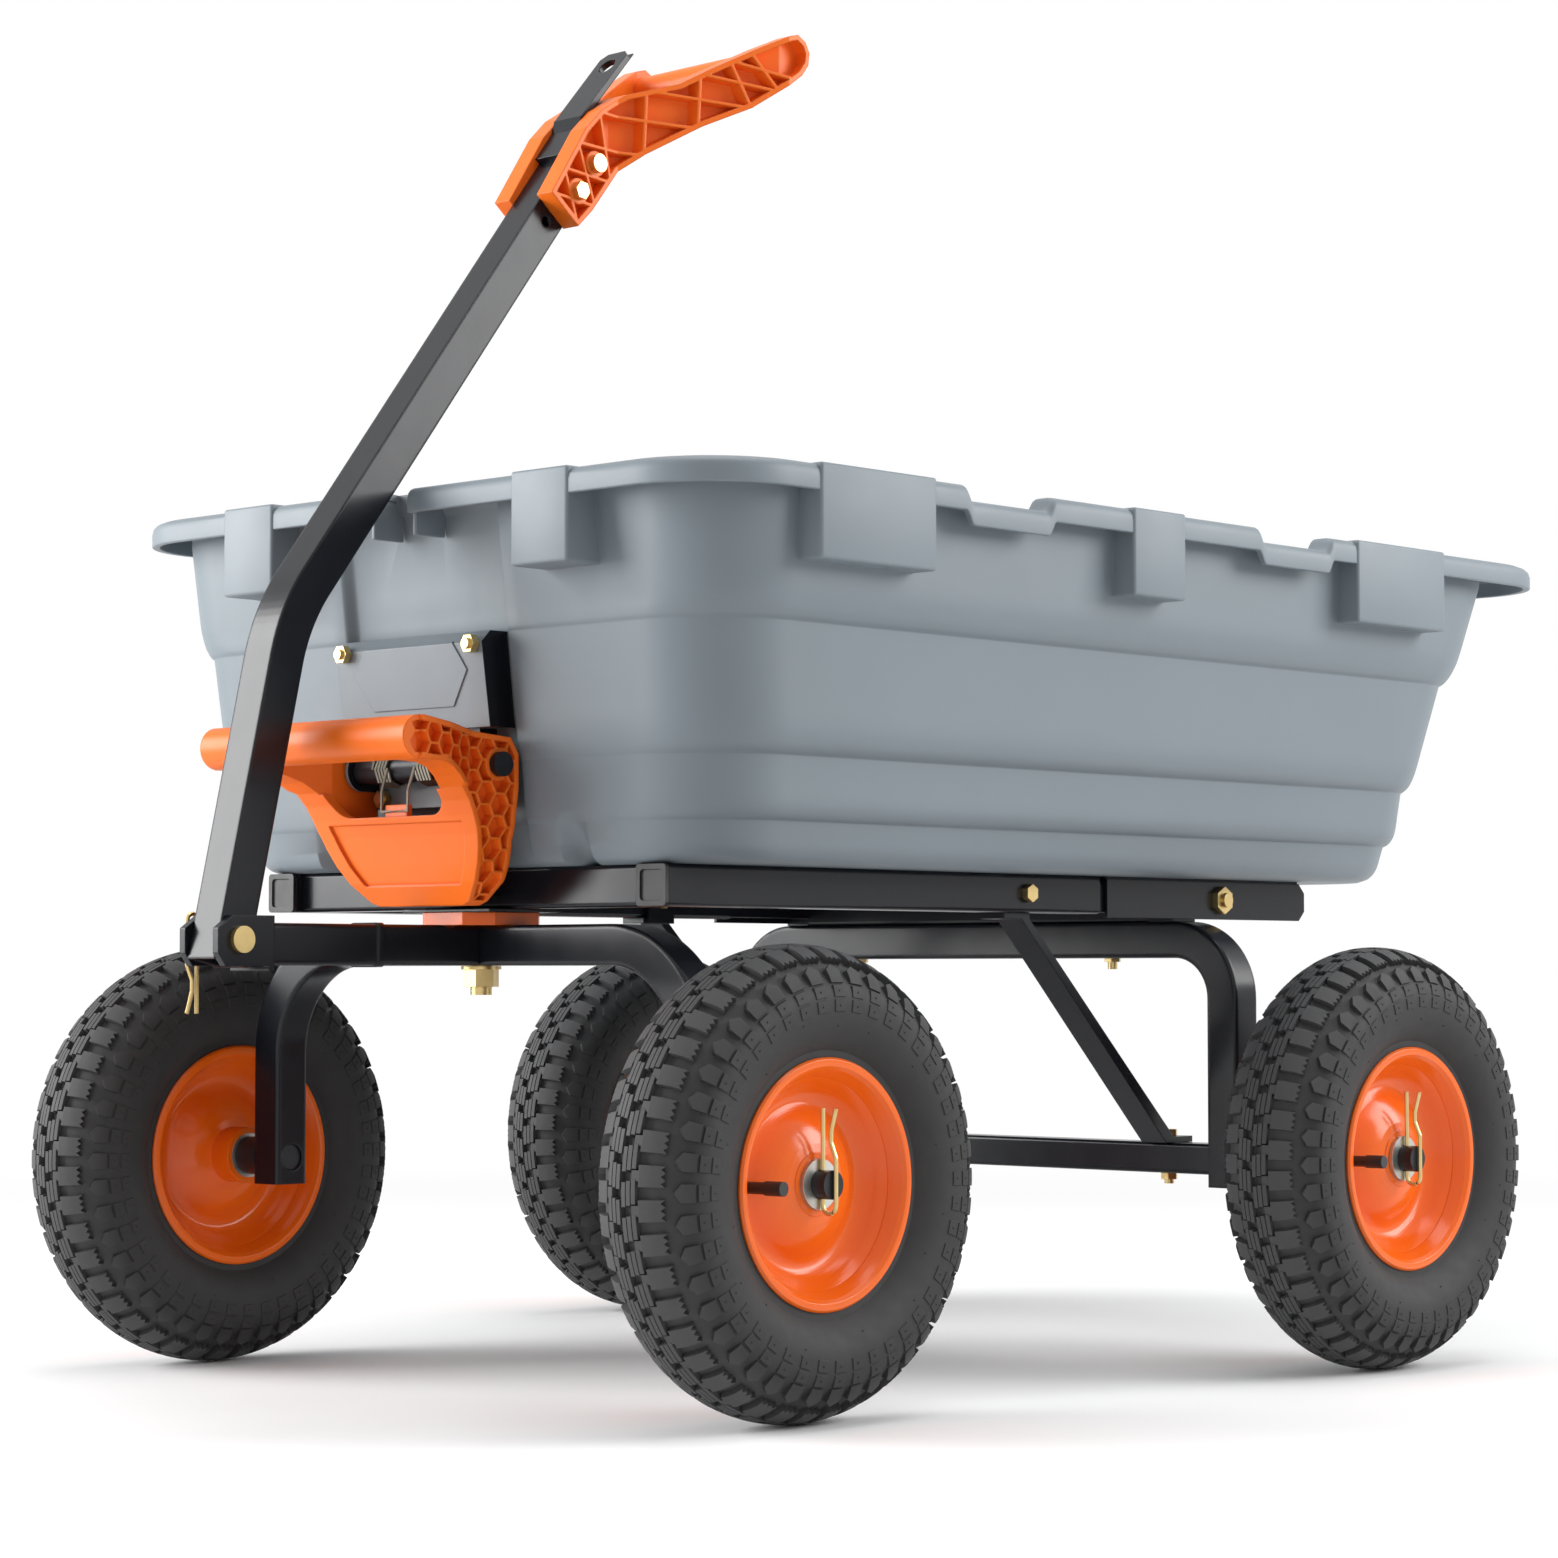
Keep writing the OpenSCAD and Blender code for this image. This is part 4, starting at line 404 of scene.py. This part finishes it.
def build_tyre():
    """The carcass and every block and nub of the tread, as one set of points and faces about X."""
    solid = Solid()
    samples = range(0, PROFILE_STEPS + 1, 4)
    outline = []
    for side in (-1, 1):
        order = samples if side > 0 else reversed(samples)
        for k in order:
            if side > 0 and k == 0:
                continue
            at = PROFILE[k] - PROFILE_N[k] * tread_drop(PROFILE_S[k])
            outline.append((side * at.x, at.y))
    outline = [(-BEAD_X, BEAD_R)] + outline + [(BEAD_X, BEAD_R)]
    rings = []
    for i in range(TURN_STEPS):
        a = 2 * math.pi * i / TURN_STEPS
        rings.append([Vector((x, r * math.sin(a), r * math.cos(a))) for x, r in outline])
    solid.loft(rings + rings[:1], caps=False)
    step = 2 * math.pi / PITCHES
    mm_turn = MM / TYRE_R
    for i in range(PITCHES):
        for side in (1, -1):
            at = step * (i + (0.0 if side > 0 else 0.5))
            # Centre block in three strips, split by two slots
            for strip in (-1, 0, 1):
                inner = (CENTRE_MID + strip * STRIP_PITCH - STRIP_HALF) * MM
                turns = [at + t * mm_turn for t in (-STRIP_REACH + strip, -3, 3, STRIP_REACH + strip)]
                add_block(solid, turns, [side * inner] * 4, [side * (inner + STRIP_WIDE * MM)] * 4, 1, 0)
            # Lateral lug with a serrated outer end, and its root
            lug = at + 0.5 * step
            turns = [lug + t * mm_turn for t in LUG_COLUMNS]
            ends = [LUG_SHORT if k % 2 else LUG_LONG for k in range(7)]
            add_block(solid, turns, [side * LUG_INNER * MM] * 7, [side * e * MM for e in ends], 3, 0)
            turns = [lug + t * mm_turn for t in (-ROOT_HALF, ROOT_HALF)]
            add_block(solid, turns, [side * ROOT_INNER * MM] * 2, [side * LUG_INNER * MM] * 2, 1, -ROOT_DROP)
            # Shoulder lug with an arrow end, and two dotted pads beyond it
            turns = [at + t * mm_turn for t in SHOULDER_COLUMNS]
            starts = [side * (SHOULDER_INNER + abs(k - 2) * SHOULDER_SLOPE) * MM for k in range(5)]
            add_block(solid, turns, starts, [side * SHOULDER_OUTER * MM] * 5, 3, SHOULDER_LIFT)
            for near in PAD_STARTS:
                turns = [at + t * mm_turn for t in PAD_COLUMNS]
                far = near + PAD_WIDE
                add_block(solid, turns, [side * near * MM] * 3, [side * far * MM] * 3, 2, PAD_LIFT)
                add_nub(solid, at, side * (near + PAD_WIDE / 2) * MM, DOT_SIZE, DOT_HEIGHT)
    for i in range(NUBS):
        for side in (1, -1):
            turn = 2 * math.pi * (i + 0.3 * math.sin(5 * i)) / NUBS
            add_nub(solid, turn, side * (NUB_PLACE + NUB_SPREAD * math.sin(3 * i)) * MM, NUB_SIZE, NUB_HEIGHT)
    return solid


tyre_solid = build_tyre()
for name, centre in WHEELS.items():
    tyre = piece(f"{name}_tread_tyre", tyre_solid.verts, tyre_solid.faces, RUBBER.material, None)
    weld(tyre)
    sharpen(tyre, 38)
    tyre.location = centre
    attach(tyre, f"{name}_wheel")
    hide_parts(f"{name}_tyre")


# Tub: the frame's own outline with rounded ledges, finer corners and softened pockets, in millimetres

MID_Y = 359.5
TUB_FLOOR, RIM_TOP, SKIRT_LOW, UNDER_RIM = 387.2, 665.0, 646.0, 660.0
RIM = {"half": 332.0, "front": -94.0, "back": 985.0, "corner": 76.0}
WALL = {"half": 313.0, "front": -68.0, "back": 932.0, "corner": 74.0}
SHEET = 5.0
# Up the wall: height above the floor, then draw-in of the sides, front and back, then rounding
LEVELS = [
    (0, 58, 46, 104, 0),
    (3, 51, 40, 98, 3),
    (10, 46, 36, 94, 6),
    (30.5, 42, 31.5, 89.5, 0.6),
    (31.8, 39, 30.7, 88.4, 1.2),
    (34, 36.3, 30, 87.3, 2),
    (38.5, 33.6, 29.3, 86, 3),
    (44, 32.3, 28.4, 84.9, 6),
    (76.5, 30.5, 24.5, 79, 0.6),
    (78.7, 27, 23.4, 77.8, 2),
    (82.5, 23.4, 22.4, 76.4, 3),
    (89, 20.6, 21.4, 74.6, 4),
    (97, 19, 20.2, 72, 10),
    (170, 15, 11.5, 42, 0.6),
    (172.5, 11.5, 10.4, 39.6, 2),
    (178, 7.6, 9.6, 36.6, 3),
    (186, 4.3, 8.8, 33.3, 4),
    (195, 2.5, 7.6, 29.5, 10),
    (259, 0, 0, 0, 0),
]
DIPS = [(172, 276), (532, 636)]
DIP_RAMP, DIP_DEPTH = 9.0, 11.0
BAY_HALF, BAY_RAMP, BAY_DEPTH = 86.0, 9.0, 8.0
SCALLOP_X, SCALLOP_HALF, SCALLOP_DEPTH, SCALLOP_HIGH = 135.0, 16.0, 24.0, 38.0
SIDE_POCKETS = [(14, 137), (368, 433), (667, 795)]
FRONT_POCKET = (133, 191)
POCKET_LOW, POCKET_PROUD, POCKET_WALL = 598.0, 1.5, 4.0
# Where the pockets end inside the side and front walls, and how far their tops stand over the rim
POCKET_IN_X, POCKET_IN_Y, POCKET_OVER = 300, -56, 0.7
NOTCH_HALF, NOTCH_FRONT, NOTCH_BACK, NOTCH_LOW = 21.0, -130, -66.0, 636.0
CHEEK_THICK, CHEEK_FRONT, CHEEK_BACK, CHEEK_LOW, CHEEK_HIGH = 4, -89, -60, 630, 659
CUT_OVER = 20
CORNER_STEPS = 14
PLAIN_STATIONS = {330, 400, 480, 690}


def ease(t):
    """Smooth step from 0 to 1."""
    t = min(max(t, 0.0), 1.0)
    return t * t * (3 - 2 * t)


def dip_share(y):
    """How far the side rim has dropped at a place along it, from 0 to 1."""
    return max(ease((y - a) / DIP_RAMP) * ease((b - y) / DIP_RAMP) for a, b in DIPS)


def bay_shift(x, h):
    """How far the front wall stands back at a place across it, at a height above the floor."""
    u = min(abs(abs(x) - SCALLOP_X) / SCALLOP_HALF, 1.0)
    dent = SCALLOP_DEPTH * (1 - u * u) ** 1.5 * max(1 - h / SCALLOP_HIGH, 0)
    return BAY_DEPTH * ease((BAY_HALF + BAY_RAMP / 2 - abs(x)) / BAY_RAMP) + dent


SIDE_STATIONS = sorted(
    {e + k * DIP_RAMP / 5 for a, b in DIPS for e in (a, b - DIP_RAMP) for k in range(6)} | PLAIN_STATIONS
)
FRONT_HALF = [20, 50] + [BAY_HALF + BAY_RAMP * (k / 6 - 0.5) for k in range(7)] + [104]
FRONT_HALF += [SCALLOP_X + SCALLOP_HALF * (k / 5 - 1) for k in range(11)]
FRONT_STATIONS = [-x for x in reversed(FRONT_HALF)] + FRONT_HALF


def tub_ring(half, front, back, corner, z, dip, bay, h):
    """One closed loop round the tub."""
    loop = []

    def arc(cx, cy, start):
        for i in range(CORNER_STEPS + 1):
            a = math.radians(start + 90 * i / CORNER_STEPS)
            loop.append((cx + corner * math.cos(a), cy + corner * math.sin(a), z))

    arc(half - corner, front + corner, -90)
    loop.extend((half, y, z - dip * DIP_DEPTH * dip_share(y)) for y in SIDE_STATIONS)
    arc(half - corner, back - corner, 0)
    arc(-half + corner, back - corner, 90)
    loop.extend((-half, y, z - dip * DIP_DEPTH * dip_share(y)) for y in reversed(SIDE_STATIONS))
    arc(-half + corner, front + corner, 180)
    loop.extend((x, front + bay * bay_shift(x, h), z) for x in FRONT_STATIONS)
    return [Vector((x, y - MID_Y, z)) * MM for x, y, z in loop]


def rounded_profile(stops):
    """Rounds each stop of a profile by its own radius; a stop is its ring's values and a radius."""
    line = []
    for i, (ring, radius) in enumerate(stops):
        if not radius or i in (0, len(stops) - 1):
            line.append(ring)
            continue
        sides = []
        for other in (stops[i - 1][0], stops[i + 1][0]):
            length = math.hypot(other[0] - ring[0], other[4] - ring[4])
            share = min(radius / max(length, 1e-6), 0.48)
            sides.append([a + (b - a) * share for a, b in zip(ring, other)])
        for k in range(5):
            t = k / 4
            parts = zip(sides[0], ring, sides[1])
            line.append([a * (1 - t) ** 2 + 2 * b * t * (1 - t) + c * t * t for a, b, c in parts])
    return line


def wall_stop(level, inset, lift=0.0):
    """One stop of the wall's profile, with its radius."""
    h, side, front, back, radius = level
    return (
        [
            WALL["half"] - side - inset,
            WALL["front"] + front + inset,
            WALL["back"] - back - inset,
            WALL["corner"] - inset / 2,
            TUB_FLOOR + h + lift,
            0,
            1,
            h,
        ],
        radius,
    )


def rim_stop(base, inset, z, radius):
    """One stop of the rim's profile, which drops with the dips, with its radius."""
    ring = [base["half"] - inset, base["front"] + inset, base["back"] - inset, base["corner"] - inset / 2]
    return (ring + [z, 1, 0, LEVELS[-1][0]], radius)


def build_tub_shell():
    """The tub's skin, up the outside, over the rim and down the inside."""
    stops = [wall_stop(level, 0) for level in LEVELS]
    stops += [
        rim_stop(WALL, 0, UNDER_RIM, 2),
        rim_stop(RIM, SHEET, UNDER_RIM, 2),
        rim_stop(RIM, SHEET, SKIRT_LOW, 1),
        rim_stop(RIM, 0, SKIRT_LOW, 1),
        rim_stop(RIM, 0, RIM_TOP, 9),
        rim_stop(WALL, SHEET, RIM_TOP, 5),
    ]
    stops += [wall_stop(level, SHEET, SHEET / 2) for level in reversed(LEVELS[1:])]
    stops.append(wall_stop(LEVELS[0], SHEET, SHEET))
    solid = Solid()
    solid.loft([tub_ring(*values) for values in rounded_profile(stops)])
    return solid


def soft_box(name, low, high, radius):
    """A box in millimetres with rounded edges, as a mesh object for cutting and joining."""
    solid = Solid()
    spans = list(zip(low, high))
    corners = [Vector((x, y - MID_Y, z)) * MM for x in spans[0] for y in spans[1] for z in spans[2]]
    solid.add(corners, [[0, 1, 3, 2], [4, 6, 7, 5], [0, 4, 5, 1], [2, 3, 7, 6], [0, 2, 6, 4], [1, 5, 7, 3]])
    obj = piece(name, solid.verts, solid.faces, SLATE.material, None)
    bm = bmesh.new()
    bm.from_mesh(obj.data)
    bmesh.ops.recalc_face_normals(bm, faces=bm.faces)
    bmesh.ops.bevel(
        bm, geom=bm.edges[:], offset=radius * MM, segments=3, profile=0.5, affect="EDGES", clamp_overlap=True
    )
    bm.to_mesh(obj.data)
    bm.free()
    return obj


def combine(target, tools, operation):
    """Joins tool objects to the target, or cuts them out of it, and removes them."""
    for tool in tools:
        step = target.modifiers.new("combine", "BOOLEAN")
        step.operation = operation
        step.solver = "EXACT"
        step.object = tool
        bpy.context.view_layer.update()
        graph = bpy.context.evaluated_depsgraph_get()
        shape = bpy.data.meshes.new_from_object(target.evaluated_get(graph))
        target.modifiers.clear()
        target.data = shape
        bpy.data.objects.remove(tool)


def pocket_boxes(inset, low, high, radius):
    """Boxes of all the stake pockets, drawn in by the inset."""
    boxes = []
    out_x, out_y = RIM["half"] + POCKET_PROUD - inset, RIM["front"] - POCKET_PROUD + inset
    for side in (1, -1):
        for a, b in SIDE_POCKETS:
            xs = sorted((side * (POCKET_IN_X + 2 * inset), side * out_x))
            boxes.append(soft_box("pocket", (xs[0], a + inset, low), (xs[1], b - inset, high), radius))
        xs = sorted(side * (x + k * inset) for x, k in zip(FRONT_POCKET, (1, -1)))
        boxes.append(soft_box("pocket", (xs[0], out_y, low), (xs[1], POCKET_IN_Y - 2 * inset, high), radius))
    return boxes


tub_solid = build_tub_shell()
tub = piece("moulded_tub", tub_solid.verts, tub_solid.faces, SLATE.material, None)
weld(tub)
cheeks = [
    soft_box("cheek", (x, CHEEK_FRONT, CHEEK_LOW), (x + CHEEK_THICK, CHEEK_BACK, CHEEK_HIGH), 1.2)
    for x in (NOTCH_HALF, -NOTCH_HALF - CHEEK_THICK)
]
combine(tub, pocket_boxes(0, POCKET_LOW, RIM_TOP + POCKET_OVER, 2.2) + cheeks, "UNION")
combine(tub, pocket_boxes(POCKET_WALL, POCKET_LOW + POCKET_WALL, RIM_TOP + CUT_OVER, 1.5), "DIFFERENCE")
notch_low = (-NOTCH_HALF, NOTCH_FRONT, NOTCH_LOW)
notch_high = (NOTCH_HALF, NOTCH_BACK, RIM_TOP + CUT_OVER)
combine(tub, [soft_box("notch", notch_low, notch_high, 0.8)], "DIFFERENCE")
for polygon in tub.data.polygons:
    polygon.use_smooth = True
sharpen(tub, 40)
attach(tub, "tub")
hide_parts("tub")


# Smooth shading of the frame's own round faces

for name, obj in nodes.items():
    for polygon in obj.data.polygons:
        polygon.use_smooth = True
    if "sharp_edge" not in obj.data.attributes:
        obj.data.set_sharp_from_angle(angle=math.radians(30))


# Studio: pale floor that runs into a white backdrop, two soft boxes and a little light from above

FILL = 0.42
FLOOR_REACH, FLOOR_DROP = 60, 0.0005
FADE_NEAR, FADE_FAR = 0.9, 3.2
# Soft boxes: name, place, target, size and watts
LIGHTS = [
    ("left_front", (-2.3, -2.4, 1.35), (0, -0.3, 0.45), (2.2, 2.0), 140),
    ("right_rear", (2.4, 2.0, 1.75), (0.2, 0.1, 0.45), (2.2, 1.6), 80),
    ("top", (0.2, 0.2, 3.2), (0, 0, 0.4), (2.4, 2.4), 48),
]


def seen_share(tree):
    """One for rays that show the backdrop itself: camera, glossy and transmission rays."""
    path = tree.nodes.new("ShaderNodeLightPath")
    share = path.outputs["Is Camera Ray"]
    for name in ("Is Glossy Ray", "Is Transmission Ray"):
        either = tree.nodes.new("ShaderNodeMath")
        either.operation = "MAXIMUM"
        tree.links.new(share, either.inputs[0])
        tree.links.new(path.outputs[name], either.inputs[1])
        share = either.outputs[0]
    return share


world = bpy.data.worlds.new("studio")
world.use_nodes = True
sky = world.node_tree
backdrop = sky.nodes["Background"]
backdrop.inputs["Color"].default_value = (1, 1, 1, 1)
level = sky.nodes.new("ShaderNodeMapRange")
level.inputs["To Min"].default_value = FILL
level.inputs["To Max"].default_value = 1.0
sky.links.new(seen_share(sky), level.inputs["Value"])
sky.links.new(level.outputs["Result"], backdrop.inputs["Strength"])
bpy.context.scene.world = world

paper = Paint("floor_paper").colour((0.93, 0.93, 0.93), (0.915, 0.915, 0.92), 3).roughness(0.7, 0.8, 8)
away = paper.node("ShaderNodeVectorMath", Vector=paper.coords)
away.operation = "LENGTH"
fade = paper.node("ShaderNodeMapRange", Value=away.outputs["Value"])
fade.interpolation_type = "SMOOTHSTEP"
fade.inputs["From Min"].default_value = FADE_NEAR
fade.inputs["From Max"].default_value = FADE_FAR
share = paper.node("ShaderNodeMath")
share.operation = "MULTIPLY"
paper.tree.links.new(fade.outputs["Result"], share.inputs[0])
paper.tree.links.new(seen_share(paper.tree), share.inputs[1])
blank = paper.tree.nodes.new("ShaderNodeEmission")
blank.inputs["Color"].default_value = (1, 1, 1, 1)
blank.inputs["Strength"].default_value = 1.0
blend = paper.tree.nodes.new("ShaderNodeMixShader")
paper.tree.links.new(share.outputs[0], blend.inputs["Fac"])
paper.tree.links.new(paper.bsdf.outputs["BSDF"], blend.inputs[1])
paper.tree.links.new(blank.outputs["Emission"], blend.inputs[2])
paper.tree.links.new(blend.outputs["Shader"], paper.tree.nodes["Material Output"].inputs["Surface"])
floor = piece(
    "studio_floor",
    [(x * FLOOR_REACH, y * FLOOR_REACH, -FLOOR_DROP) for x, y in ((-1, -1), (1, -1), (1, 1), (-1, 1))],
    [[0, 1, 2, 3]],
    paper.material,
    None,
)


def soft_light(name, place, target, size, power):
    """A rectangular area light turned to its target."""
    lamp = bpy.data.lights.new(name, "AREA")
    lamp.energy = power
    lamp.shape = "RECTANGLE"
    lamp.size, lamp.size_y = size
    obj = bpy.data.objects.new(name, lamp)
    obj.location = place
    obj.rotation_euler = (Vector(target) - Vector(place)).to_track_quat("-Z", "Y").to_euler()
    bpy.context.scene.collection.objects.link(obj)


for light in LIGHTS:
    soft_light(*light)


# Camera where the photograph was taken from

PHOTO_SIDE = 1558
PHOTO_FOCAL = 3780.1
PHOTO_AXIS_ROW = 776.16
CAMERA_PLACE = Vector((2.1006, -2.2757, 0.3087))
CAMERA_YAW = math.radians(43.13)
CAMERA_PITCH = math.radians(3.0)
SENSOR = 36.0

camera_data = bpy.data.cameras.new("photo_camera")
camera_data.sensor_width = SENSOR
camera_data.lens = PHOTO_FOCAL / PHOTO_SIDE * SENSOR
camera_data.shift_y = (PHOTO_AXIS_ROW - PHOTO_SIDE / 2) / PHOTO_SIDE
camera = bpy.data.objects.new("photo_camera", camera_data)
bpy.context.scene.collection.objects.link(camera)
camera.location = CAMERA_PLACE
look = Vector(
    (
        -math.sin(CAMERA_YAW) * math.cos(CAMERA_PITCH),
        math.cos(CAMERA_YAW) * math.cos(CAMERA_PITCH),
        math.sin(CAMERA_PITCH),
    )
)
camera.rotation_euler = look.to_track_quat("-Z", "Y").to_euler()
bpy.context.scene.camera = camera
bpy.context.scene.view_settings.view_transform = "Standard"
